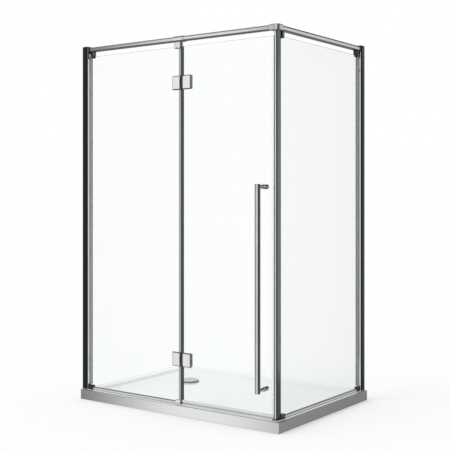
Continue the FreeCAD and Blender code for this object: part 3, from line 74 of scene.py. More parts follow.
# glass: its faces in front, the edges of the panes beside the door, and its feet and top
GLASS_FACES = SPANS["fixed_glass"][1]
GLASS_Y = middle(GLASS_FACES)
GLASS_X = middle(SPANS["side_glass"][0])
FIXED_EDGE = SPANS["fixed_glass"][0][1]
(DOOR_START, DOOR_END), _, (DOOR_FOOT, GLASS_TOP) = SPANS["door_glass"]
GLASS_FOOT = SPANS["fixed_glass"][2][0]
# wall profiles: their faces, how far they stand out from the wall, and half their width
LEFT_FACE = SPANS["adjusting_profile_left"][0][1]
REAR_FACE = SPANS["adjusting_profile_rear"][1][0]
PROFILE_REACH = LEFT_FACE - LEFT
PROFILE_HALF = GLASS_Y - SPANS["adjusting_profile_left"][1][0]
# sleeves of the header rail: half their width, their foot and top
SLEEVE_HALF = SPANS["rail_sleeve"][1][1] - GLASS_Y
SLEEVE_Z = SPANS["rail_sleeve"][2]
HINGE_AXIS = next([place / MM for place in joint["pos_m"][:2]]
                  for joint in frame["joints"] if joint["name"] == "door_swing")
HINGE_LEVELS = {name: middle(SPANS[f"{name}_hinge_fixed_leaf"][2]) for name in ("upper", "lower")}
HANDLE_AXIS = tuple(middle(span) for span in SPANS["handle_bar"][:2])

# ---------------------------------------------------------------- surfaces


def unit(vectors):
    """Vectors divided by their lengths."""
    return vectors / np.linalg.norm(vectors, axis=-1, keepdims=True)


def box(first, second):
    """Four corners of a rectangle from its spans on the two axes of its plane."""
    (a, b), (c, d) = first, second
    return [(a, c), (b, c), (b, d), (a, d)]


def arcs(corners, radii, steps=4):
    """Closed outline round corners (..., k, 2), each turned by an arc of its radius r. For unit
    directions p and q from a corner c to its neighbours, with half the angle h between them, the
    arc's centre is c + unit(p + q) r / sin h and it touches the sides at r / tan h from c. With a
    and b the spokes to those points and w = pi - 2 h, its points are
    centre + (sin((1 - t) w) a + sin(t w) b) / sin w for t from 0 to 1."""
    before = unit(np.roll(corners, 1, -2) - corners)
    after = unit(np.roll(corners, -1, -2) - corners)
    half = 0.5 * np.arccos(np.clip((before * after).sum(-1, keepdims=True), -1, 1))
    radius = np.broadcast_to(radii, corners.shape[:-1])[..., None]
    centre = corners + unit(before + after) * radius / np.sin(half)
    first = corners + before * radius / np.tan(half) - centre
    last = corners + after * radius / np.tan(half) - centre
    turn = (np.pi - 2 * half)[..., None, :]
    t = np.linspace(0, 1, steps + 1)[:, None]
    swung = (np.sin((1 - t) * turn) * first[..., None, :]
             + np.sin(t * turn) * last[..., None, :]) / np.sin(turn)
    return (centre[..., None, :] + swung).reshape(*corners.shape[:-2], -1, 2)


def lifted(axis, outlines, levels):
    """Outlines (rows, n, 2) set in space, each row at its level on an axis."""
    points = np.insert(outlines, AXIS[axis], 0.0, axis=-1)
    levels = np.asarray(levels, float)
    points[..., AXIS[axis]] = levels if levels.ndim == 2 else levels[:, None]
    return points


def shell(points, lids=True, wrap=False):
    """Faces over a grid of points that closes round its second index: quads between neighbours,
    and flat lids on its first and last rows unless it wraps round its first index as well."""
    rows, count = points.shape[:2]
    row, column = np.meshgrid(np.arange(rows if wrap else rows - 1), np.arange(count),
                              indexing="ij")
    far = (row + 1) % rows * count
    near = row * count
    beside = (column + 1) % count
    quads = np.stack([near + column, near + beside, far + beside, far + column], -1)
    groups = [quads.reshape(-1, 4)]
    if lids and not wrap:
        groups += [np.arange(count)[None, ::-1], np.arange(count)[None] + (rows - 1) * count]
    return points.reshape(-1, 3), groups


def prism_grid(axis, low, high, corners, radii=0.5, soft=(0.4, 0.4), steps=4):
    """Rounded outline carried along an axis. At each end a quarter round of radius s takes the
    level in by s (1 - cos a) while the outline moves in by s (1 - sin a): each corner goes along
    (m + n) / (1 + m . n) for the inward normals m and n of its two sides, and its own radius
    shrinks by as much if it stands out or grows if it turns in."""
    least_radius = 0.02
    corners = np.array(corners, float)
    radii = np.broadcast_to(radii, len(corners)).astype(float)
    ahead = np.roll(corners, -1, 0) - corners
    if (corners[:, 0] * ahead[:, 1] - corners[:, 1] * ahead[:, 0]).sum() < 0:
        corners, radii = corners[::-1], radii[::-1]
        ahead = np.roll(corners, -1, 0) - corners
    normal = unit(np.stack([-ahead[:, 1], ahead[:, 0]], -1))
    behind = np.roll(normal, 1, 0)
    move = (behind + normal) / (1 + (behind * normal).sum(-1, keepdims=True))
    outward = np.sign(behind[:, 0] * normal[:, 1] - behind[:, 1] * normal[:, 0])
    a = np.linspace(0, np.pi / 2, steps + 1)
    inset = np.concatenate([soft[0] * (1 - np.sin(a)), soft[1] * (1 - np.sin(a[::-1]))])
    level = np.concatenate([low + soft[0] * (1 - np.cos(a)),
                            high - soft[1] * (1 - np.cos(a[::-1]))])
    rows = corners + move * inset[:, None, None]
    turned_radii = np.maximum(radii - outward * inset[:, None], least_radius)
    return lifted(axis, arcs(rows, turned_radii, steps), level)


def prism(*args, **settings):
    """Closed shell over a prism's grid."""
    return shell(prism_grid(*args, **settings))


def along_and_across(node, axis):
    """Span of a CAD node on an axis, and its spans on the two axes of the plane across it."""
    across = list(SPANS[node])
    along = across.pop(AXIS[axis])
    return along, across


def bar(node, axis, radii, soft, steps):
    """Box of a CAD node as a rounded bar along an axis."""
    along, across = along_and_across(node, axis)
    return prism(axis, *along, box(*across), radii, soft, steps)


def turned(axis, centre, corners, radii=0.0, steps=5, count=48, ring=False):
    """Profile of (radius, level) corners, rounded by arcs and carried round an axis: at the angle
    a a point lies at centre + radius (cos a, sin a). A ring's profile closes on itself, and any
    other starts and ends on the axis."""
    profile = arcs(np.array(corners, float), radii, steps)
    a = np.arange(count) * 2 * np.pi / count
    spokes = np.stack([np.cos(a), np.sin(a)], -1)
    outlines = np.array(centre) + profile[:, 0, None, None] * spokes
    return shell(lifted(axis, outlines, profile[:, 1]), lids=False, wrap=ring)


def socket_head(axis, centre, radius, low, face, across=0.45, depth=0.5):
    """Round screw head with a hexagon socket. Each row is a radius over the angle a: the head's own
    radius, then the hexagon's, f / cos(((a + 30) mod 60) - 30 degrees) for its flats at f."""
    count = 24
    a = np.arange(count) * 2 * np.pi / count
    sixth = np.pi / 3
    hexagon = radius * across / np.cos((a + sixth / 2) % sixth - sixth / 2)
    even = np.ones(count)
    rise = face - low
    soft = 0.12 * radius
    drop = soft * np.sign(rise)
    rows = np.array([0 * even, radius * even, radius * even, (radius - 0.3 * soft) * even,
                     (radius - soft) * even, hexagon * 1.06, hexagon, hexagon, 0 * even])
    levels = np.array([low, low, face - drop, face - 0.3 * drop, face, face, face - 0.4 * drop,
                       face - rise * depth, face - rise * depth])
    outlines = np.array(centre) + rows[..., None] * np.stack([np.cos(a), np.sin(a)], -1)
    return shell(lifted(axis, outlines, levels), lids=False)


def piece(name, body, slot, finish, *shells, stands_for=(), sharp=50):
    """One rigid object made of closed shells. Doubles are merged, the faces turned outwards and
    the flat faces kept flat by normals weighted by area."""
    weld = 0.002 * MM
    starts = np.cumsum([0] + [len(points) for points, groups in shells])
    points = np.concatenate([points for points, groups in shells]) * MM
    faces = [face for start, (_, groups) in zip(starts, shells) for group in groups
             for face in (group + start).tolist()]
    mesh = bpy.data.meshes.new(name)
    mesh.from_pydata(points.tolist(), [], faces)
    work = bmesh.new()
    work.from_mesh(mesh)
    bmesh.ops.remove_doubles(work, verts=work.verts, dist=weld)
    bmesh.ops.recalc_face_normals(work, faces=work.faces)
    work.to_mesh(mesh)
    work.free()
    mesh.shade_smooth()
    mesh.set_sharp_from_angle(angle=math.radians(sharp))
    mesh.materials.append(finish)
    made = bpy.data.objects.new(name, mesh)
    SCENE.collection.objects.link(made)
    even = made.modifiers.new("even_faces", "WEIGHTED_NORMAL")
    even.keep_sharp = True
    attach(made, body)
    if stands_for:
        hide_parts(*stands_for)
    return made


# ---------------------------------------------------------------- colours and shader nodes


def linear(code, alpha=1.0):
    """Linear colour of an sRGB hex code: each channel c becomes ((c + 0.055) / 1.055) to the
    power 2.4, or c / 12.92 where it is nearly black."""
    channels = [int(code[i:i + 2], 16) / 255 for i in (1, 3, 5)]
    return [c / 12.92 if c <= 0.04045 else ((c + 0.055) / 1.055) ** 2.4
            for c in channels] + [alpha]


def add(tree, kind, inputs=None, **settings):
    """Add a shader node: settings are its properties, inputs its values or the links into it.
    A Mix node's sockets go by number: 0 is its factor, 2 and 3 are numbers, 6 and 7 colours, and
    it gives a number at 0 or a colour at 2."""
    node = tree.nodes.new(kind)
    for name, value in settings.items():
        setattr(node, name, value)
    for name, value in (inputs or {}).items():
        socket = node.inputs[name]
        if isinstance(value, bpy.types.NodeSocket):
            tree.links.new(value, socket)
        else:
            socket.default_value = value
    return node


def finished(name, surface_of):
    """Material whose surface is the shader that surface_of makes in its tree."""
    material = bpy.data.materials.new(name)
    material.use_nodes = True
    tree = material.node_tree
    tree.nodes.clear()
    add(tree, "ShaderNodeOutputMaterial", {"Surface": surface_of(tree)})
    return material


def grain(tree, size, stretch=(1, 1, 1), detail=2.0):
    """Noise over Object coordinates with features of a size in mm, drawn out on each axis by its
    stretch. It gives the noise, and its middle part spread over 0 to 1."""
    place = add(tree, "ShaderNodeTexCoord").outputs["Object"]
    scaled = add(tree, "ShaderNodeMapping", {
        "Vector": place, "Scale": [1 / (size * MM * s) for s in stretch]}).outputs["Vector"]
    noise = add(tree, "ShaderNodeTexNoise", {
        "Vector": scaled, "Scale": 1.0, "Detail": detail, "Roughness": 0.55}).outputs["Fac"]
    share = add(tree, "ShaderNodeMapRange", {
        "Value": noise, "From Min": 0.3, "From Max": 0.7}).outputs["Result"]
    return noise, share


# ---------------------------------------------------------------- materials


def varied(name, tones, rough, size, stretch=(1, 1, 1), depth=0.0, **shader):
    """Surface whose tone and roughness drift together between two values along a grain of a size
    in mm. A depth in mm lets the grain bend the light as well, and shader holds what is the same
    all over: the roughness too, where rough is None."""
    def surface(tree):
        noise, share = grain(tree, size, stretch)
        dark, light = (linear(tone) for tone in tones)
        tone = add(tree, "ShaderNodeMix", {0: share, 6: dark, 7: light}, data_type="RGBA")
        inputs = {"Base Color": tone.outputs[2], **shader}
        if rough:
            inputs["Roughness"] = add(tree, "ShaderNodeMix", {
                0: share, 2: rough[0], 3: rough[1]}).outputs[0]
        if depth:
            inputs["Normal"] = add(tree, "ShaderNodeBump", {
                "Height": noise, "Strength": 1.0, "Distance": depth * MM}).outputs["Normal"]
        return add(tree, "ShaderNodeBsdfPrincipled", inputs).outputs["BSDF"]
    return finished(name, surface)


def chrome(name, low, high, rough):
    """Bright plating: a mirror with a faint haze in soft patches a hand's breadth wide."""
    return varied(name, (low, high), (rough, rough * 1.7), 60, Metallic=1.0)


def drawn_metal(name, low, high, stretch, rough, depth=0.0):
    """Metal with fine straight lines from the die or the brush. Real lines are 0.1 to 0.3 mm
    wide, so they are drawn 1.5 mm wide to show at all."""
    return varied(name, (low, high), (rough, rough * 1.4), 1.5, stretch, depth, Metallic=1.0)


def lacquered(name, low, high, stretch):
    """Matt aluminium under clear lacquer: mostly a pale scatter, with some of the metal's shine
    along its drawn lines."""
    return varied(name, (low, high), (0.3, 0.4), 1.5, stretch, Metallic=0.3)


def plastic(name, low, high, rough, size, depth, ior=1.5):
    """Plastic and other non-metals: slight mottling and a fine skin from the mould or press."""
    return varied(name, (low, high), (rough, rough * 1.3), size, depth=depth, Metallic=0.0,
                  IOR=ior)


def vinyl(name, tones, splits=(), axis="x", leg=1.0):
    """Soft PVC extrusion in tones that meet at places in mm on an axis, in the order of the
    places, with a blur where two hardnesses run together. leg is how opaque the first tone is,
    and the skin is the die's, drawn 1.2 mm wide to show."""
    blur = 0.4

    def surface(tree):
        place = add(tree, "ShaderNodeTexCoord").outputs["Object"]
        side = add(tree, "ShaderNodeSeparateXYZ", {0: place}).outputs[AXIS[axis]]
        beyond = [add(tree, "ShaderNodeMapRange", {
            "Value": side, "From Min": (split - blur) * MM, "From Max": (split + blur) * MM}
            ).outputs["Result"] for split in splits]
        colour = linear(tones[0])
        for share, tone in zip(beyond, tones[1:]):
            colour = add(tree, "ShaderNodeMix", {0: share, 6: colour, 7: linear(tone)},
                         data_type="RGBA").outputs[2]
        _, skin = grain(tree, 1.2, (1, 1, 40))
        haze = add(tree, "ShaderNodeMix", {0: skin, 2: 0.22, 3: 0.32})
        inputs = {"Base Color": colour, "Metallic": 0.0, "IOR": 1.53,
                  "Roughness": haze.outputs[0]}
        if leg < 1:
            inputs["Alpha"] = add(tree, "ShaderNodeMix", {
                0: beyond[0], 2: leg, 3: 1.0}).outputs[0]
        return add(tree, "ShaderNodeBsdfPrincipled", inputs).outputs["BSDF"]
    return finished(name, surface)


def clear_glass():
    """Toughened float glass: clear with a faint green cast, and waves a hand's breadth long from
    the rollers of the furnace. Light passes straight through it, because shadow, diffuse and
    mirrored rays see it as a plain clear sheet."""
    def surface(tree):
        roller, _ = grain(tree, 90, detail=1.0)
        waves = add(tree, "ShaderNodeBump", {
            "Height": roller, "Strength": 1.0, "Distance": 0.004 * MM})
        solid = add(tree, "ShaderNodeBsdfPrincipled", {
            "Base Color": linear("#fcfefe"), "Metallic": 0.0, "Roughness": 0.0, "IOR": 1.52,
            "Specular Tint": (0.1, 0.1, 0.1, 1), "Normal": waves.outputs["Normal"],
            "Transmission Weight": 1.0})
        path = add(tree, "ShaderNodeLightPath")
        lit = add(tree, "ShaderNodeMath", {
            0: path.outputs["Is Shadow Ray"], 1: path.outputs["Is Diffuse Ray"]},
            operation="MAXIMUM")
        mirrored = add(tree, "ShaderNodeMath", {
            0: path.outputs["Is Glossy Ray"], 1: path.outputs["Is Transmission Ray"]},
            operation="GREATER_THAN")
        plain = add(tree, "ShaderNodeMath", {0: lit.outputs[0], 1: mirrored.outputs[0]},
                    operation="MAXIMUM")
        clear = add(tree, "ShaderNodeBsdfTransparent", {"Color": linear("#fcfefe")})
        mixed = add(tree, "ShaderNodeMixShader", {
            0: plain.outputs[0], 1: solid.outputs["BSDF"], 2: clear.outputs["BSDF"]})
        return mixed.outputs["Shader"]
    return finished("toughened_float_glass", surface)


UPWARDS = (1, 1, 80)
ALONG_X = (80, 1, 1)
ALONG_Y = (1, 80, 1)

# nickel-chrome plate on brass castings: a sharp mirror, a shade under the hinge plates
FITTING_CHROME = chrome("bright_chrome_on_brass", "#dddddd", "#ebebea", 0.035)
# plate on polished zinc castings: a clean mirror, so the plates show the studio's dark flags
HINGE_CHROME = chrome("bright_chrome_on_zinc", "#e2e2e2", "#efefee", 0.045)
# chrome painted dark on the brackets and clamps beside the walls and on the hinge knuckles: painted
# shade and dark reflection, a dark mirror
CHROME_PAINTED_DARK = chrome("fitting_chrome_painted_dark", "#4c4d4f", "#606163", 0.06)
# the drawn tubes under the plate leave it a trace warmer and softer
RAIL_CHROME = chrome("bright_chrome_on_steel_tube", "#d6d5d3", "#e3e2e0", 0.05)
# the same plate on the side tube, set lighter than on the front tubes: painted light for the paler
# part of the studio that the side tube mirrors
RAIL_SIDE_PAINTED_LIGHT = chrome("side_tube_chrome_painted_lighter", "#efeeec", "#f6f5f3", 0.05)
# a buffed round bar: long even stripes of light and dark
HANDLE_CHROME = chrome("polished_chrome_on_brass_tube", "#d9d9d9", "#e6e6e5", 0.04)
# satin chrome flashed on moulded ABS: a soft grey shine, so the cover reads darker than the tray
COVER_CHROME = varied("satin_chrome_on_abs", ("#c4c6c7", "#cfd0d1"), None, 12, Metallic=0.6,
                      Roughness=0.26)
# aluminium painted dark grey: painted shade and dark reflection, so the wall channels read as dark
# upright bands
CHANNEL = drawn_metal("aluminium_channel_painted_dark", "#505152", "#595a5b", UPWARDS, 0.05)
# chemically brightened and anodised: pale stripes inside the dark channels
INSERT = drawn_metal("bright_anodised_aluminium_insert", "#f0f0f0", "#f4f4f4", UPWARDS, 0.06)
# the same metal painted a mid grey between the two: painted shade on the corner profile, its shoe
# and clamp, and the post caps
CORNER = drawn_metal("metal_painted_mid_grey", "#77797a", "#818384", UPWARDS, 0.07)
# low strips: they scatter light, so they stay pale along the tray's rim where plate turns dark
SILL = lacquered("lacquered_aluminium_strip", "#e2e4e5", "#ecedee", ALONG_X)
SIDE_CHANNEL = lacquered("lacquered_aluminium_channel", "#e2e4e5", "#ecedee", ALONG_Y)
# polished stainless sheet that keeps long faint brush lines, and clouds the mirror
APRON_FRONT = drawn_metal("brushed_stainless_front", "#e9e9e9", "#f1f1f1", ALONG_X, 0.09,
                          depth=0.003)
# the side sheet is painted a shade darker than the front one: painted shade on the side turned away
# from the light
APRON_SIDE_PAINTED_DARKER = drawn_metal("brushed_stainless_side_painted_darker", "#dfdfdf", "#e8e8e8", ALONG_Y, 0.09,
                         depth=0.003)
# plain steel heads: greyer and duller than the plate round them
SCREW = chrome("stainless_steel_screw", "#8f9193", "#a4a6a8", 0.18)
# cast acrylic drawn over a mould: deep even white under a wet gloss, with a trace of orange peel
ACRYLIC = plastic("vacuum_formed_acrylic", "#f4f5f5", "#f7f8f8", 0.05, 9, 0.01, 1.49)
# bare pressed board under the tray: brown, matt and fibrous
BOARD = plastic("raw_fibreboard", "#8c6f4d", "#a3855f", 0.8, 2.5, 0.15)
# black nylon with glass fibre: a dull, slightly rough skin
FOOT = plastic("moulded_glass_filled_nylon", "#1d1d1e", "#262627", 0.45, 1.2, 0.03)
# grey waste fitting: an even satin skin from the mould
WASTE = plastic("moulded_abs", "#8e9092", "#9a9c9e", 0.35, 1.5, 0.02)
# washers, pads and lips: nearly black and matt
RUBBER = plastic("black_epdm_rubber", "#151516", "#1f1f20", 0.6, 0.8, 0.02)
# water-clear pads between plates and glass: they only show as a milky edge
PAD = plastic("clear_polyurethane_pad", "#c9cecd", "#d3d8d7", 0.3, 0.8, 0.01)
# seal round a pane in its slot: an even mid grey line
GASKET = vinyl("grey_soft_pvc_gasket", ["#9a9fa0"])
# seal under the door: milky legs on the glass over a greyer fin
SWEEP = vinyl("clear_soft_pvc_sweep", ["#c3c8c9", "#e6eaeb"], [DOOR_FOOT + 0.5], "z")
# pale legs on the fixed pane, and a bulb painted dark in the gap beside the door: painted shade for
# the gap and for the dark lines a clear seal shows
HINGE_SEAL = vinyl("grey_soft_pvc_seal", ["#b4b6b7", "#484b4d"], [FIXED_EDGE - 0.8])
# legs that all but vanish on the door glass, and a teal magnet strip beyond its edge
DOOR_MAGNET = vinyl("soft_pvc_with_magnet_strip", ["#dfe5e6", "#40626d"], [DOOR_END + 1.0],
                    leg=0.04)
# the strip that meets it: a teal flank, a pale face and a dark back
CORNER_MAGNET = vinyl("teal_magnetic_pvc", ["#40626d", "#f4f7f7", "#2b3f43"],
                      [GLASS_X - 4.5, GLASS_X + 0.4])
# narrow lips: thin grey lines along the corner profile and the low channels
LIP = vinyl("grey_soft_pvc_lip", ["#6d6f71"])
# beads with a pale root on the profile and a dark nose towards the glass: the dark nose is a
# painted shadow line beside the inner limb of each glass profile
BEAD_ROOT = 5.4
LEFT_SHADOW_LINE_BEAD = vinyl("pvc_bead_left_painted_shadow_line", ["#f0f1f1", "#45484a"], [LEFT_FACE + BEAD_ROOT])
REAR_SHADOW_LINE_BEAD = vinyl("pvc_bead_rear_painted_shadow_line", ["#45484a", "#f0f1f1"], [REAR_FACE - BEAD_ROOT],
                  "y")
# ground edges look like a dark green line: the green is the glass's own tint, the darkness painted
# shade for what the pane mirrors inside it
GROUND_EDGE = plastic("ground_glass_edge", "#343b3a", "#3e4644", 0.5, 0.9, 0.01)
# the panes themselves: nearly invisible, but for their edges
GLASS = clear_glass()

FINISHES = {node: finish for finish, nodes in (
    (ACRYLIC, "tray_shell"), (BOARD, "tray_base_board"), (FOOT, "levelling_feet"),
    (APRON_FRONT, "apron_front"), (APRON_SIDE_PAINTED_DARKER, "apron_side"), (WASTE, "waste_body waste_nut"),
    (COVER_CHROME, "waste_cover"), (RUBBER, "waste_seal clamp_pads handle_gaskets"),
    # the wall channels take the metal painted dark: painted shade and dark reflection
    (CHANNEL, "wall_channel_left wall_channel_rear"),
    (INSERT, "adjusting_profile_left adjusting_profile_rear"),
    # the corner pieces and the post caps take the metal painted mid grey: painted shade
    (CORNER, "corner_profile profile_caps top_clamp_corner corner_foot_bracket"),
    (GASKET, "glass_gasket_left glass_gasket_rear"),
    (GLASS, "fixed_glass door_glass side_glass"),
    (RAIL_CHROME, "header_rail_left header_rail_right"), (RAIL_SIDE_PAINTED_LIGHT, "header_rail_side"),
    (FITTING_CHROME, "rail_sleeve corner_elbow top_clamp_centre centre_foot_bracket"),
    # the fittings beside the walls take the chrome painted dark: painted shade and dark reflection
    (CHROME_PAINTED_DARK, "rail_bracket_left rail_bracket_rear top_clamp_left top_clamp_rear "
                   "wall_foot_brackets"),
    (SILL, "low_channel_front door_sill"), (SIDE_CHANNEL, "low_channel_side"),
    (CORNER_MAGNET, "corner_magnet_seal"), (DOOR_MAGNET, "door_magnet_seal"),
    (SWEEP, "door_sweep"), (HINGE_SEAL, "hinge_side_seal"),
    (HINGE_CHROME, "upper_hinge_fixed_leaf upper_hinge_door_leaf lower_hinge_fixed_leaf "
                   "lower_hinge_door_leaf hinge_backplates_fixed hinge_backplates_door"),
    (PAD, "hinge_gaskets_fixed hinge_gaskets_door"),
    (SCREW, "clamp_screws hinge_pins hinge_screws_fixed hinge_screws_door"),
    (HANDLE_CHROME, "handle_bar handle_end_caps handle_standoffs handle_inner_knobs"),
) for node in nodes.split()}

for name, part in frame["nodes"].items():
    part.data.materials.clear()
    part.data.materials.append(FINISHES[name])

# ---------------------------------------------------------------- tray


def ease(before, corner, after, steps=5):
    """Rows that turn a corner: (1 - t)^2 before + 2 t (1 - t) corner + t^2 after."""
    t = np.linspace(0, 1, steps + 1)[:, None, None]
    return (1 - t) ** 2 * before + 2 * t * (1 - t) * corner + t ** 2 * after


def tray():
    """Shell as one closed surface. A row is a rounded rectangle in plan with its height; the rows
    run up the skirt, over the rim and the rebate under the aprons, down the sloping side, across
    the floor as blends (1 - t) basin + t waste seat, through the waste hole, and back under."""
    wall = 5.0
    rim_wide = 60.0
    slope_wide = 26.0
    slope_foot = DECK - 13.0
    hole = 45.0
    seat_half = 68.0
    seat_round = 64.0
    seat_top = SPANS["waste_seal"][2][0]
    lip = 3.0
    (_, shell_right), _, (skirt, _) = SPANS["tray_shell"]
    rebate = RIGHT - shell_right
    rebate_end = RIGHT - SPANS["apron_side"][0][0] + 0.2

    def plan(x, y, radius, height):
        """Row of (x, y, height) round a rectangle whose corners have a radius."""
        outline = arcs(np.array(box(x, y)), radius, steps=12)
        heights = np.broadcast_to(height, len(outline))
        return np.concatenate([outline, heights[:, None]], -1)

    def rim(inset, left_inset, height):
        """Row in from the right and front edges, and from the left and back ones."""
        return plan((LEFT + left_inset, RIGHT - inset), (FRONT + inset, BACK - left_inset), 0.3,
                    height)

    def basin(inset, radius, height):
        """Row in from the inner edge of the rim."""
        margin = rim_wide + inset
        return plan((LEFT + margin, RIGHT - margin), (FRONT + margin, BACK - margin), radius,
                    height)

    def seat(half, radius, height):
        """Row round the waste, half as wide as given."""
        x, y = WASTE_AXIS
        return plan((x - half, x + half), (y - half, y + half), radius, height)

    foot = basin(slope_wide, 57, slope_foot)
    bowl = seat(seat_half, seat_round, seat_top)

    def fall(t):
        """Row of the floor: (1 - t) foot of the slope + t edge of the bowl."""
        return (1 - t) * foot + t * bowl

    outline = rim(rebate, 0, 0)
    under_apron = (outline[:, 0] > RIGHT - 2) | (outline[:, 1] < FRONT + 2)
    crest = np.where(under_apron, DECK - rebate, DECK)
    rows = [
        rim(rebate, 0, skirt)[None],
        ease(rim(rebate, 0, crest - lip), rim(rebate, 0, crest), rim(rebate + lip, lip, crest)),
        rim(rebate_end, lip + 0.1, crest)[None],
        rim(rebate_end, lip + 0.2, DECK)[None],
        ease(basin(-7, 56, DECK), basin(0, 62, DECK), basin(6, 60.9, DECK - 3)),
        ease(basin(17, 59, DECK - 8.5), foot, fall(0.03), 6),
        fall(np.linspace(0.06, 0.9, 12)[:, None, None]),
        ease(fall(0.96), bowl, seat(60, 58, seat_top)),
        seat(hole, hole, seat_top)[None],
        seat(hole, hole, seat_top - wall)[None],
        seat(seat_half, seat_round, seat_top - wall)[None],
        basin(slope_wide - wall, 62, slope_foot - wall)[None],
        basin(-wall, 67, DECK - wall)[None],
        rim(rebate + wall, wall, DECK - wall)[None],
        rim(rebate + wall, wall, skirt)[None]]
    piece("tray_pan", "enclosure", "acrylic", ACRYLIC,
          shell(np.concatenate(rows), wrap=True), stands_for=["tray_shell"], sharp=40)


def aprons():
    """Sheet folds over the rim: the section's outer fold has a radius of 2.2 mm round an inner
    one of 0.7 mm. The side sheet starts behind the front one wherever the two would meet."""
    sheet = 1.5
    fold_radii = (0.4, 0.4, 0.7, 0.4, 0.4, 2.2)

    def fold(face, flange, low, top):
        """Section of a sheet that hangs at its face and ends in a flange over the rim."""
        back = face + math.copysign(sheet, flange - face)
        return [(face, low), (back, low), (back, top - sheet), (flange, top - sheet),
                (flange, top), (face, top)]

    x, (face, flange), z = SPANS["apron_front"]
    piece("front_apron", "enclosure", "apron_steel", APRON_FRONT,
          prism("x", *x, fold(face, flange, *z), fold_radii, (0.1, 0.1), 5),
          stands_for=["apron_front"])
    behind = flange - face - sheet
    (flange, face), y, z = SPANS["apron_side"]
    grid = prism_grid("y", *y, fold(face, flange, *z), fold_radii, (0.1, 0.1), 5)
    inside = (grid[..., 0] < face - sheet - 0.1) | (grid[..., 2] > DECK - sheet - 0.1)
    grid[..., 1] += np.where((grid[..., 1] < 0) & inside, behind, 0.0)
    # the side apron takes the sheet painted darker: painted shade
    piece("side_apron", "enclosure", "apron_steel", APRON_SIDE_PAINTED_DARKER, shell(grid),
          stands_for=["apron_side"])


def drain_cover():
    """Crowned disc with a rolled edge, the tube under it and its three lugs."""
    (left, right), _, (tube_end, top) = SPANS["waste_cover"]
    radius = (right - left) / 2
    under = top - 4
    lap = 0.3
    tube_out, tube_in = radius - 19, radius - 21
    lug_foot = SPANS["waste_body"][2][1] + 0.2
    disc = turned("z", WASTE_AXIS, [(0, top), (radius / 2, top), (radius - 2, top - 0.6),
                                    (radius, top - 2), (radius, under), (0, under)],
                  (0, 60, 2.0, 1.5, 0.5, 0), count=72)
    tube = turned("z", WASTE_AXIS, [(tube_in, tube_end), (tube_out, tube_end),
                                    (tube_out, under + lap), (tube_in, under + lap)], 0.4,
                  ring=True)
    lugs = [turned("z", (WASTE_AXIS[0] + (radius - 7) * math.cos(a),
                         WASTE_AXIS[1] + (radius - 7) * math.sin(a)),
                   [(0, lug_foot), (3, lug_foot), (3, under + lap), (0, under + lap)],
                   (0, 0.6, 0, 0), count=24)
            for a in np.arange(3) * math.tau / 3]
    piece("drain_cap", "drain_cover", "cover_chrome", COVER_CHROME, disc, tube, *lugs,
          stands_for=["waste_cover"])


# ---------------------------------------------------------------- wall profiles


def at_wall(side, outline):
    """Outline in plan, given out from a wall and across from the middle of the glass: set at the
    left wall, or turned a quarter and set at the rear one."""
    out, across = np.transpose(outline)
    return np.stack([LEFT + out, GLASS_Y + across] if side == "left"
                    else [GLASS_X + across, BACK - out], -1)


def glass_profiles():
    """Hollow profiles that hold the side edges of the glass, carried upwards: a slot 12.4 mm wide
    and 16 mm deep between two limbs with rounded corners."""
    (back, _), _, z = SPANS["adjusting_profile_left"]
    start = back - LEFT
    slot = 6.2
    floor = PROFILE_REACH - 16
    plan = [(start, -PROFILE_HALF), (PROFILE_REACH, -PROFILE_HALF), (PROFILE_REACH, -slot),
            (floor, -slot), (floor, slot), (PROFILE_REACH, slot), (PROFILE_REACH, PROFILE_HALF),
            (start, PROFILE_HALF)]
    for side in ("left", "rear"):
        piece(f"glass_profile_{side}", "enclosure", "frame_aluminium", INSERT,
              prism("z", *z, at_wall(side, plan), (0.4, 2.5, 0.6, 0.3, 0.3, 0.6, 6.0, 0.4),
                    (0.1, 0.1), 6), stands_for=[f"adjusting_profile_{side}"])


def caps():
    """Cap over each wall profile with a domed socket button."""
    low, button_top = SPANS["profile_caps"][2]
    top = low + 2
    across = [y - GLASS_Y for y in SPANS["wall_channel_left"][1]]
    shells = []
    for side in ("left", "rear"):
        cap = at_wall(side, box((0, PROFILE_REACH), across))
        shells.append(prism("z", low, top, cap, 2, (0.1, 0.8)))
        shells.append(socket_head("z", cap.mean(0), 5.5, top - 0.6, button_top, 0.4))
    # the caps are painted mid grey: painted shade
    piece("post_caps", "enclosure", "cap_plastic", CORNER, *shells, stands_for=["profile_caps"])


# ---------------------------------------------------------------- rail and its fittings


def rails():
    """Tube sections 36 by 25 mm with corners of 8 mm, and the sleeve over their joint with its
    two set screws, which stand just proud of its back."""
    # the side tube takes the chrome painted lighter: painted light
    for name, axis, finish in (("left", "x", RAIL_CHROME), ("right", "x", RAIL_CHROME),
                               ("side", "y", RAIL_SIDE_PAINTED_LIGHT)):
        piece(f"rail_tube_{name}", "enclosure", "rail_chrome", finish,
              bar(f"header_rail_{name}", axis, 8, (0.05, 0.05), 10),
              stands_for=[f"header_rail_{name}"])
    piece("rail_joint_sleeve", "enclosure", "fitting_chrome", FITTING_CHROME,
          bar("rail_sleeve", "x", 10.5, (1.0, 1.0), 8), stands_for=["rail_sleeve"])
    (start, end), (_, back), _ = SPANS["rail_sleeve"]
    piece("sleeve_set_screws", "enclosure", "screw_steel", SCREW,
          *[socket_head("y", (x, middle(SLEEVE_Z)), 2.9, back - 1.5, back + 0.1)
            for x in (start + 10, end - 10)])


def elbow():
    """Corner block: an L in plan with an outer corner of 16 mm, rounded all round its top and
    foot."""
    (left, right), (front, back), z = SPANS["corner_elbow"]
    inner_x = GLASS_X - SLEEVE_HALF
    inner_y = GLASS_Y + SLEEVE_HALF
    plan = [(left, front), (right, front), (right, back), (inner_x, back), (inner_x, inner_y),
            (left, inner_y)]
    piece("corner_block", "enclosure", "fitting_chrome", FITTING_CHROME,
          prism("z", *z, plan, (5, 16, 5, 5, 1, 5), (4.5, 4.5), 7),
          stands_for=["corner_elbow"])


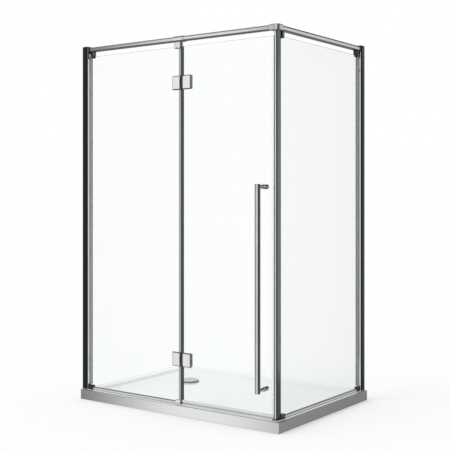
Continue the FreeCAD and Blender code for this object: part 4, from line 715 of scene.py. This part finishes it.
def rail_ends():
    """Plate on each wall profile with the rail's socket."""
    plate_thick = 4.0
    lap = 0.2
    (left, left_end), _, z = SPANS["rail_bracket_left"]
    _, (rear_end, rear), _ = SPANS["rail_bracket_rear"]
    for name, axis, across, plate, socket in (
            ("left", "x", GLASS_Y, (left, left + plate_thick),
             (left + plate_thick - lap, left_end)),
            ("rear", "y", GLASS_X, (rear - plate_thick, rear),
             (rear_end, rear - plate_thick + lap))):
        plate_wide = (across - PROFILE_HALF, across + PROFILE_HALF)
        socket_wide = (across - SLEEVE_HALF, across + SLEEVE_HALF)
        # the sockets are chrome painted dark: painted shade
        piece(f"rail_socket_{name}", "enclosure", "fitting_chrome", CHROME_PAINTED_DARK,
              prism(axis, *plate, box(plate_wide, z), 4, (0.8, 0.8)),
              prism(axis, *socket, box(socket_wide, SLEEVE_Z), 10.5, (0.8, 0.8), 8),
              stands_for=[f"rail_bracket_{name}"])


def clamps():
    """Clamp section: a block over the glass with a slot 10 mm wide, rounded at both ends, and a
    socket screw in its outer jaw."""
    slot = 5.0
    slot_top = GLASS_TOP + 1
    screws = []
    for name, axis in (("left", "x"), ("centre", "x"), ("corner", "y"), ("rear", "y")):
        node = f"top_clamp_{name}"
        along, ((near, far), (low, top)) = along_and_across(node, axis)
        centre = middle((near, far))
        section = [(near, low), (centre - slot, low), (centre - slot, slot_top),
                   (centre + slot, slot_top), (centre + slot, low), (far, low), (far, top),
                   (near, top)]
        # each clamp keeps its node's finish, so those beside the walls are painted dark and the
        # corner one mid grey: painted shade
        piece(f"glass_clamp_{name}", "enclosure", "fitting_chrome", FINISHES[node],
              prism(axis, *along, section, (2.5, 0.6, 0.3, 0.3, 0.6, 2.5, 2.5, 2.5),
                    (2.5, 2.5)), stands_for=[node])
        across, face, outward = ("y", near, -1) if axis == "x" else ("x", far, 1)
        screws.append(socket_head(across, (middle(along), low + 4.5), 3, face - 2 * outward,
                                  face + 0.5 * outward))
    piece("clamp_socket_screws", "enclosure", "screw_steel", SCREW, *screws,
          stands_for=["clamp_screws"])


# ---------------------------------------------------------------- foot of the glass


def shoe(centre, top, half, gap):
    """U section that stands on the rim and holds the glass in a slot between its jaws."""
    return [(centre - half, DECK), (centre + half, DECK), (centre + half, top),
            (centre + gap, top), (centre + gap, GLASS_FOOT), (centre - gap, GLASS_FOOT),
            (centre - gap, top), (centre - half, top)]


def feet_of_glass():
    """Shoes at the walls, in the middle and at the corner, channels under the fixed panes between
    them, and the sloping threshold under the door."""
    long = 30.0
    half = 13.0
    gap = 4.5
    plate_top = DECK + 6
    radii = (0.5, 0.5, 2.0, 0.5, 0.2, 0.2, 0.5, 2.0)
    (left, _), (_, rear), (_, top) = SPANS["wall_foot_brackets"]
    # the wall shoes are chrome painted dark: painted shade
    piece("wall_shoes", "enclosure", "fitting_chrome", CHROME_PAINTED_DARK,
          prism("x", left, left + long, shoe(GLASS_Y, top, half, gap), radii, (1.2, 1.2)),
          prism("y", rear - long, rear, shoe(GLASS_X, top, half, gap), radii, (1.2, 1.2)),
          stands_for=["wall_foot_brackets"])

    (start, end), y, (_, top) = SPANS["centre_foot_bracket"]
    piece("middle_shoe", "enclosure", "fitting_chrome", FITTING_CHROME,
          prism("x", start, start + long, shoe(GLASS_Y, top, half, gap), radii, (1.2, 1.2)),
          prism("z", DECK, plate_top, box((start + long - 2, end), y), 4, (0.2, 1.2)),
          stands_for=["centre_foot_bracket"])

    (start, end), (front, back), (_, top) = SPANS["corner_foot_bracket"]
    post_back = SPANS["corner_profile"][1][1]
    plate = [(start, front), (end, front), (end, back), (GLASS_X - half, back),
             (GLASS_X - half, post_back), (start, post_back)]
    jaws = [prism("x", *x, box((post_back + 1, back), (DECK + 1, top)), 6, (1.2, 1.2))
            for x in ((GLASS_X - half, GLASS_X - gap), (GLASS_X + gap, GLASS_X + half))]
    # the corner shoe is painted mid grey: painted shade
    piece("corner_shoe", "enclosure", "fitting_chrome", CORNER,
          prism("z", DECK, plate_top, plate, 1.5, (0.2, 1.0)), *jaws,
          stands_for=["corner_foot_bracket"])

    for name, node, axis, centre, finish in (
            ("front_glass_channel", "low_channel_front", "x", GLASS_Y, SILL),
            ("side_glass_channel", "low_channel_side", "y", GLASS_X, SIDE_CHANNEL)):
        along, ((near, far), (_, top)) = along_and_across(node, axis)
        piece(name, "enclosure", "sill_aluminium", finish,
              prism(axis, *along, shoe(centre, top, (far - near) / 2, 5), 0.5, (0.1, 0.1)),
              stands_for=[node])

    x, (toe, heel), (_, top) = SPANS["door_sill"]
    piece("door_threshold", "enclosure", "sill_aluminium", SILL,
          prism("x", *x, [(toe, DECK), (heel, DECK), (heel, top), (heel - 6, top),
                          (toe, DECK + 1.5)],
                (0.3, 0.3, 1.5, 4.0, 0.5), (0.3, 0.3)), stands_for=["door_sill"])


# ---------------------------------------------------------------- corner profile and seals


def corner_strips():
    """Corner profile and its magnet strip, each a profile in plan carried upwards."""
    side_wall = 2.5
    web = 3.0
    (left, right), (front, back), z = SPANS["corner_profile"]
    channel = [(left, front), (right, front), (right, back), (right - side_wall, back),
               (right - side_wall, front + web), (left + side_wall, front + web),
               (left + side_wall, back), (left, back)]
    # the corner profile is painted mid grey: painted shade
    piece("corner_upright", "enclosure", "frame_aluminium", CORNER,
          prism("z", *z, channel, (0.5, 2.4, 0.5, 0.3, 0.2, 0.2, 0.3, 0.5), (0.1, 0.1)),
          stands_for=["corner_profile"])
    (flank, _), (face, flank_end), z = SPANS["corner_magnet_seal"]
    strike = [(flank, face), (right, face), (right, front), (left, front), (left, flank_end),
              (flank, flank_end)]
    piece("corner_magnet_strip", "enclosure", "magnet_vinyl", CORNER_MAGNET,
          prism("z", *z, strike, (0.5, 0.5, 0.1, 0.2, 0.4, 0.4), (0.1, 0.1)),
          stands_for=["corner_magnet_seal"])


def seal_section(leg_end, edge, nose_end, nose):
    """Section of a seal that straddles the edge of a front pane, as (along, across) corners: legs
    on both faces of the glass, a base over its edge, and a nose as wide as its span across."""
    wall = 1.2
    front, room = GLASS_FACES
    base = edge + math.copysign(wall, nose_end - edge)
    near, far = nose
    return [(leg_end, front - wall), (base, front - wall), (base, near), (nose_end, near),
            (nose_end, far), (base, far), (base, room + wall), (leg_end, room + wall),
            (leg_end, room), (edge, room), (edge, front), (leg_end, front)]


def seal_radii(base, nose):
    """Radii of a seal's section where its nose leaves the base and at the nose's own corners."""
    return (0.5, 0.6, base, nose, nose, base, 0.6, 0.5, 0.3, 0.1, 0.1, 0.3)


def door_seals():
    """Magnet seal and sweep on the door, and the bulb seal that stops short of each hinge."""
    (leg_end, _), _, z = SPANS["door_magnet_seal"]
    piece("door_edge_seal", "door", "clear_vinyl", DOOR_MAGNET,
          prism("z", *z, seal_section(leg_end, DOOR_END, SPANS["door_magnet_seal"][0][1],
                                      GLASS_FACES),
                seal_radii(0.1, 1.2), (0.1, 0.1)), stands_for=["door_magnet_seal"])

    hinge_room = 36.0
    (leg_end, bulb_end), _, (low, high) = SPANS["hinge_side_seal"]
    bulb = seal_section(leg_end, FIXED_EDGE, bulb_end, (GLASS_Y - 3, GLASS_Y + 3))
    lower, upper = HINGE_LEVELS["lower"], HINGE_LEVELS["upper"]
    lengths = [(low, lower - hinge_room), (lower + hinge_room, upper - hinge_room),
               (upper + hinge_room, high)]
    piece("hinge_side_bulb_seal", "enclosure", "clear_vinyl", HINGE_SEAL,
          *[prism("z", *length, bulb, seal_radii(0.8, 2.8), (0.1, 0.1)) for length in lengths],
          stands_for=["hinge_side_seal"])

    fin = GLASS_FACES[0] + 2
    x, _, (fin_end, leg_end) = SPANS["door_sweep"]
    section = [(across, along) for along, across in
               seal_section(leg_end, DOOR_FOOT, fin_end, (fin, fin + 1.2))]
    piece("door_bottom_seal", "door", "clear_vinyl", SWEEP,
          prism("x", *x, section, seal_radii(0.3, 0.5), (0.1, 0.1)), stands_for=["door_sweep"])


def lips_and_beads():
    """Black lips that close the gap between each wall channel and the profile in it, black as
    painted shade for that gap, a grey one between the corner profile and the side pane, beads
    beside the inner limbs of the glass profiles whose dark noses are a painted shadow line, and a
    bead and a foot line along each low channel."""
    # the lips are black to stand for the shade in the gap: painted shade
    start = SPANS["wall_channel_left"][0][1] - LEFT
    gap_lip = (PROFILE_HALF - 0.1, PROFILE_HALF + 0.8)
    piece("wall_channel_gap_shade_lips", "enclosure", "rubber", RUBBER,
          *[prism("z", *SPANS["adjusting_profile_left"][2],
                  at_wall(side, box((start, start + 8.4), [outer * b for b in gap_lip])), 0.3,
                  (0.1, 0.1), 2)
            for side, outer in (("left", -1), ("rear", 1))])

    near = GLASS_X + 4.1
    end = SPANS["corner_profile"][1][1]
    lip_z = (82, 1882)
    wedge = [(near, end - 0.1), (near + 2.2, end - 0.1), (near + 1.1, end + 8), (near, end + 8)]
    piece("corner_glazing_lip", "enclosure", "magnet_vinyl", LIP,
          prism("z", *lip_z, wedge, (0.1, 0.4, 0.4, 0.1), (0.3, 0.3)))

    bead_z = (81, 1912)
    bead = (PROFILE_HALF - 4.7, PROFILE_HALF - 0.1)
    # each bead's dark nose is a painted shadow line beside the inner limb
    for side, inner, finish, nose in (("left", 1, LEFT_SHADOW_LINE_BEAD, 2.8), ("rear", -1, REAR_SHADOW_LINE_BEAD, 3.8)):
        span = (PROFILE_REACH, PROFILE_REACH + BEAD_ROOT + nose)
        piece(f"inner_shadow_line_bead_{side}", "enclosure", "magnet_vinyl", finish,
              prism("z", *bead_z, at_wall(side, box(span, [inner * b for b in bead])), 1.2,
                    (0.3, 0.3), 3))

    top = SPANS["low_channel_front"][2][1]
    bead = [(5, top - 4), (7.3, top - 4), (7.3, top + 0.2), (5.2, top + 1.4), (4.05, top + 1.4),
            (4.05, top + 0.2), (5, top + 0.2)]
    foot = box((7, 7.7), (DECK, DECK + 2.2))
    shells = []
    for node, axis, centre, side in (("low_channel_front", "x", GLASS_Y, -1),
                                     ("low_channel_side", "y", GLASS_X, 1)):
        along, _ = along_and_across(node, axis)
        for outline in (bead, foot):
            placed = [(centre + side * a, z) for a, z in outline]
            shells.append(prism(axis, *along, placed, 0.05, (0.1, 0.1), 1))
    piece("low_channel_beads", "enclosure", "magnet_vinyl", LIP, *shells)


def ground_edges():
    """Ground edge of a pane, as the dark line that it shows through the face of the glass: a
    strip just inside the edge, because a ray inside would only be mirrored at the edge itself. Its
    dark tone is painted shade for what the pane mirrors inside it, over the glass's own green."""
    y = (GLASS_FACES[0] + 0.8, GLASS_FACES[1] - 0.8)
    top = GLASS_TOP - 1
    thin = (0.02, 0.02)
    piece("fixed_glass_ground_edge", "enclosure", "toughened_glass", GROUND_EDGE,
          prism("z", GLASS_FOOT + 1, top, box((FIXED_EDGE - 0.8, FIXED_EDGE - 0.2), y), 0.1,
                thin, 1))
    piece("door_glass_ground_edge", "door", "toughened_glass", GROUND_EDGE,
          prism("z", DOOR_FOOT + 1, top, box((DOOR_START + 0.3, DOOR_START + 4.3), y), 0.1,
                thin, 1))


# ---------------------------------------------------------------- hinges


def hinges():
    """Plates 51 by 70 mm with a rolled front edge over a dark rubber rim, knuckles turned round
    the axis and joined to their plates by webs, the plates behind the glass with their screws,
    and the pins."""
    half = 35.0
    pin = 3.5
    knuckle = 5.6
    bodies = {"fixed": "enclosure", "door": "door"}
    webs = {"fixed": (31.5, 37.6), "door": (46.4, 52.5)}
    web_y = (HINGE_AXIS[1] - 4.6, HINGE_AXIS[1] - 0.2)
    knuckles = {"fixed": [(-half, -15), (15, half)], "door": [(-14.6, 14.6)]}
    plate_y = (SPANS["upper_hinge_fixed_leaf"][1][0], GLASS_FACES[0] - 1)
    for side, body in bodies.items():
        plate_x, back_y, _ = SPANS[f"hinge_backplates_{side}"]
        for name, level in HINGE_LEVELS.items():
            leaf = f"{name}_hinge_{side}_leaf"
            shells = []
            for low, high in knuckles[side]:
                shells.append(turned("z", HINGE_AXIS, [
                    (pin + 0.1, level + low), (knuckle, level + low), (knuckle, level + high),
                    (pin + 0.1, level + high)], (0.1, 0.5, 0.5, 0.1), count=40, ring=True))
                shells.append(prism("z", level + low + 0.1, level + high - 0.1,
                                    box(webs[side], web_y), 0.3, (0.1, 0.1)))
            # the knuckles are chrome painted dark, unlike their plates: painted shade
            piece(f"{name}_hinge_{side}_knuckles", body, "hinge_chrome", CHROME_PAINTED_DARK, *shells,
                  stands_for=[leaf])
            plate = box(plate_x, (level - half, level + half))
            piece(f"{name}_hinge_{side}_plate", body, "hinge_chrome", HINGE_CHROME,
                  prism("y", *plate_y, plate, 5, (4.5, 0.2), 6), stands_for=[leaf])
        low, high = plate_x
        rim = half + 2
        rims = [prism("y", plate_y[1], GLASS_FACES[0] - 0.02,
                      box((low - 2, high + 2), (level - rim, level + rim)), 6, (0.3, 0.1))
                for level in HINGE_LEVELS.values()]
        piece(f"hinge_rubber_rims_{side}", body, "rubber", RUBBER, *rims)
        backs = [prism("y", *back_y, box(plate_x, (level - half, level + half)), 5, (0.2, 1.2),
                       6) for level in HINGE_LEVELS.values()]
        piece(f"inner_hinge_plates_{side}", body, "hinge_chrome", HINGE_CHROME, *backs,
              stands_for=[f"hinge_backplates_{side}"])
        heads = [socket_head("y", (middle(plate_x), level + step), 5.4, back_y[1] - 1,
                             back_y[1] + 0.4)
                 for level in HINGE_LEVELS.values() for step in (-18, 18)]
        piece(f"hinge_socket_screws_{side}", body, "screw_steel", SCREW, *heads,
              stands_for=[f"hinge_screws_{side}"])
    pins = [turned("z", HINGE_AXIS, [(0, level - half), (pin, level - half),
                                     (pin, level + half), (0, level + half)],
                   (0, 0.7, 0.7, 0), count=32)
            for level in HINGE_LEVELS.values()]
    piece("hinge_axles", "enclosure", "screw_steel", SCREW, *pins, stands_for=["hinge_pins"])


# ---------------------------------------------------------------- handle


def handle():
    """Round bar and its caps, turned; a standoff's stem starts on the bar where
    y = bar + sqrt(R^2 - (r cos a)^2); its collar and the inner knob are turned too."""
    x, y = HANDLE_AXIS
    (left, right), _, (bar_low, bar_high) = SPANS["handle_bar"]
    low, high = SPANS["handle_end_caps"][2]
    front, room = GLASS_FACES
    radius = (right - left) / 2
    stem = 9.0
    collar = 13.0
    collar_end = front - 8
    knob = 11.5
    knob_end = SPANS["handle_inner_knobs"][1][1]
    pad = 1.0
    piece("pull_bar", "door", "handle_chrome", HANDLE_CHROME,
          turned("z", HANDLE_AXIS, [(0, bar_low), (radius, bar_low), (radius, bar_high),
                                    (0, bar_high)],
                 (0, 0.25, 0.25, 0), count=64), stands_for=["handle_bar"])
    piece("pull_bar_caps", "door", "handle_chrome", HANDLE_CHROME,
          turned("z", HANDLE_AXIS, [(0, low), (radius, low), (radius, bar_low), (0, bar_low)],
                 (0, 1.6, 0.25, 0), count=64),
          turned("z", HANDLE_AXIS, [(0, bar_high), (radius, bar_high), (radius, high), (0, high)],
                 (0, 0.25, 1.6, 0), count=64), stands_for=["handle_end_caps"])
    a = np.arange(48) * math.tau / 48
    saddle = y + np.sqrt((radius + 0.03) ** 2 - (stem * np.cos(a)) ** 2)
    stems = []
    knobs = []
    for level in (low + collar, high - collar):
        outline = np.array([x, level]) + stem * np.stack([np.cos(a), np.sin(a)], -1)
        stems.append(shell(lifted("y", np.stack([outline] * 2),
                                  np.stack([saddle, np.full(48, collar_end + 0.5)]))))
        stems.append(turned("y", (x, level), [(0, collar_end), (collar, collar_end),
                                              (collar, front - pad), (0, front - pad)],
                            (0, 1.5, 0.4, 0)))
        knobs.append(turned("y", (x, level), [(0, room + pad), (knob, room + pad),
                                              (knob, knob_end), (0, knob_end)],
                            (0, 0.6, 5, 0)))
        knobs.append(turned("y", (x, level), [(0, front - 7), (4, front - 7),
                                              (4, room + pad + 0.2), (0, room + pad + 0.2)],
                            count=24))
    piece("pull_standoffs", "door", "handle_chrome", HANDLE_CHROME, *stems,
          stands_for=["handle_standoffs"])
    piece("pull_inner_knobs", "door", "handle_chrome", HANDLE_CHROME, *knobs,
          stands_for=["handle_inner_knobs"])


tray()
aprons()
drain_cover()
glass_profiles()
caps()
rails()
elbow()
rail_ends()
clamps()
feet_of_glass()
corner_strips()
door_seals()
lips_and_beads()
ground_edges()
hinges()
handle()

# ---------------------------------------------------------------- studio

# strength that polished metal mirrors at each bearing in degrees, from the front (0) to the
# right (90): white with dark flags, as in a product studio. The strengths are those near the
# floor, at eye level, at the height of the rail and overhead.
BEARINGS = [
    (-180, 0.35, 0.35, 0.35, 0.02), (-168, 0.25, 0.25, 0.30, 0.03),
    (-157, 0.18, 0.18, 0.95, 0.04), (-152, 0.16, 0.16, 1.0, 1.0),
    (-126, 0.25, 0.25, 1.0, 0.80), (-100, 0.35, 0.35, 0.45, 0.40),
    (-84, 0.35, 0.35, 0.40, 0.30), (-68, 0.28, 0.28, 0.22, 0.25),
    (-50, 0.26, 0.26, 0.20, 0.22), (-45, 0.16, 0.16, 0.22, 0.24),
    (-43.5, 0.36, 0.36, 0.36, 0.28), (-42, 0.62, 0.60, 0.58, 0.30),
    (-39.4, 0.97, 0.93, 0.90, 0.30), (-37, 1.0, 1.0, 1.0, 0.30),
    (-34.2, 0.90, 0.90, 0.90, 0.30), (-32.5, 0.58, 0.58, 0.58, 0.30),
    (-26, 0.32, 0.32, 0.32, 0.30), (-22, 1.0, 1.0, 1.0, 0.60), (8, 0.75, 0.75, 0.75, 0.60),
    (43, 0.55, 0.55, 0.55, 0.50), (52, 0.02, 0.02, 0.02, 0.30), (82, 0.02, 0.02, 0.02, 0.30),
    (85, 0.28, 0.28, 0.28, 0.30), (95, 0.28, 0.28, 0.28, 0.30), (98, 0.02, 0.02, 0.02, 0.30),
    (130, 0.03, 0.03, 0.03, 0.10), (134, 0.95, 0.95, 0.95, 0.10),
    (138, 0.90, 0.90, 0.90, 0.10), (140, 0.05, 0.05, 0.05, 0.05),
    (147, 0.34, 0.80, 0.62, 0.05), (151.2, 0.28, 0.80, 0.58, 0.03),
    (153, 0.24, 0.24, 0.55, 0.02)]
# sines of the elevation between which each of those strengths gives way to the next
LAYERS = [(-0.2, -0.185), (0.125, 0.145), (0.185, 0.215)]
# share of it at each sine of the elevation
HEIGHTS = [(-1.0, 0.45), (-0.4, 0.60), (-0.26, 0.95), (0.0, 1.0)]
PLAIN_LEVEL = 0.79
SUN_STRENGTH = 0.9
SUN_AIM = Vector((0.35, 0.6, -1.0)).normalized()
FLOOR_TONE = "#dcdcdc"
# what the floor sends back beyond the shadow, from the world and from the sun
FLOOR_LIT = linear(FLOOR_TONE)[0] * (PLAIN_LEVEL - SUN_STRENGTH * SUN_AIM.z / math.pi)


def seen(tree):
    """1 for a ray from the camera or one that has come through glass, and 0 for any other."""
    path = add(tree, "ShaderNodeLightPath")
    return add(tree, "ShaderNodeMath", {
        0: path.outputs["Is Camera Ray"], 1: path.outputs["Is Transmission Ray"]},
        operation="MAXIMUM").outputs[0]


def studio_world():
    """Even soft light at a plain level, white behind everything that is seen or seen through, and
    the flags above for what metal mirrors."""
    world = bpy.data.worlds.new("pale_studio")
    SCENE.world = world
    world.use_nodes = True
    tree = world.node_tree
    tree.nodes.clear()
    direction = add(tree, "ShaderNodeTexCoord").outputs["Generated"]
    x, y, sine = add(tree, "ShaderNodeSeparateXYZ", {0: direction}).outputs
    to_front = add(tree, "ShaderNodeMath", {0: y, 1: -1.0}, operation="MULTIPLY")
    bearing = add(tree, "ShaderNodeMath", {0: x, 1: to_front.outputs[0]}, operation="ARCTAN2")

    ramps = []
    for value, reach, stations, station_reach in (
            (bearing.outputs[0], math.pi, BEARINGS, 180), (sine, 1.0, HEIGHTS, 1.0)):
        place = add(tree, "ShaderNodeMapRange", {
            "Value": value, "From Min": -reach, "From Max": reach})
        ramp = add(tree, "ShaderNodeValToRGB", {0: place.outputs["Result"]})
        elements = ramp.color_ramp.elements
        elements.remove(elements[-1])
        for number, (station, *strengths) in enumerate(stations):
            position = 0.5 + station / (2 * station_reach)
            element = elements.new(position) if number else elements[0]
            element.position = position
            element.color = (strengths * 4)[:4]
        ramps.append(ramp.outputs)
    (flags, overhead), (share, _) = ramps

    around, *higher = add(tree, "ShaderNodeSeparateXYZ", {0: flags}).outputs
    for (start, end), above in zip(LAYERS, [*higher, overhead]):
        height = add(tree, "ShaderNodeMapRange", {
            "Value": sine, "From Min": start, "From Max": end})
        around = add(tree, "ShaderNodeMix", {
            0: height.outputs["Result"], 2: around, 3: above}).outputs[0]
    mirrored = add(tree, "ShaderNodeMath", {0: around, 1: share}, operation="MULTIPLY")

    glossy = add(tree, "ShaderNodeLightPath").outputs["Is Glossy Ray"]
    lit = add(tree, "ShaderNodeMix", {0: glossy, 2: PLAIN_LEVEL, 3: mirrored.outputs[0]})
    level = add(tree, "ShaderNodeMix", {0: seen(tree), 2: lit.outputs[0], 3: 1.0})
    light = add(tree, "ShaderNodeBackground", {
        "Color": (1, 1, 1, 1), "Strength": level.outputs[0]})
    add(tree, "ShaderNodeOutputWorld", {"Surface": light.outputs["Background"]})


def pale_floor():
    """Matt floor that keeps the shadow and shows white where it is seen or seen through."""
    def surface(tree):
        matt = add(tree, "ShaderNodeBsdfDiffuse", {"Color": linear(FLOOR_TONE)})
        strength = add(tree, "ShaderNodeMix", {0: seen(tree), 2: 0.0, 3: 1.0 - FLOOR_LIT})
        glow = add(tree, "ShaderNodeEmission", {
            "Color": (1, 1, 1, 1), "Strength": strength.outputs[0]})
        both = add(tree, "ShaderNodeAddShader", {
            0: matt.outputs["BSDF"], 1: glow.outputs["Emission"]})
        return both.outputs["Shader"]
    reach = 30.0
    mesh = bpy.data.meshes.new("studio_floor")
    mesh.from_pydata([(-reach, -reach, 0), (reach, -reach, 0), (reach, reach, 0),
                      (-reach, reach, 0)], [], [(0, 1, 2, 3)])
    floor = bpy.data.objects.new("studio_floor", mesh)
    SCENE.collection.objects.link(floor)
    mesh.materials.append(finished("pale_floor", surface))
    floor.visible_glossy = False


def soft_sun():
    """Broad even light from the front left above, not mirrored by the metal."""
    data = bpy.data.lights.new("soft_sun", "SUN")
    data.energy = SUN_STRENGTH
    data.angle = math.radians(40)
    lamp = bpy.data.objects.new("soft_sun", data)
    SCENE.collection.objects.link(lamp)
    lamp.rotation_euler = SUN_AIM.to_track_quat("-Z", "Y").to_euler()
    lamp.visible_glossy = False


def camera():
    """Level camera in front of the right corner, with its picture shifted down so that the
    uprights stay parallel."""
    data = bpy.data.cameras.new("camera")
    data.lens = 74.14
    data.sensor_width = 36.0
    data.shift_y = -0.0703
    data.clip_end = 100
    made = bpy.data.objects.new("camera", data)
    SCENE.collection.objects.link(made)
    made.location = (3.009, -4.142, 1.138)
    made.rotation_euler = (math.radians(90), 0, math.radians(35.901))
    SCENE.camera = made


studio_world()
pale_floor()
soft_sun()
camera()

SCENE.view_settings.view_transform = "Standard"
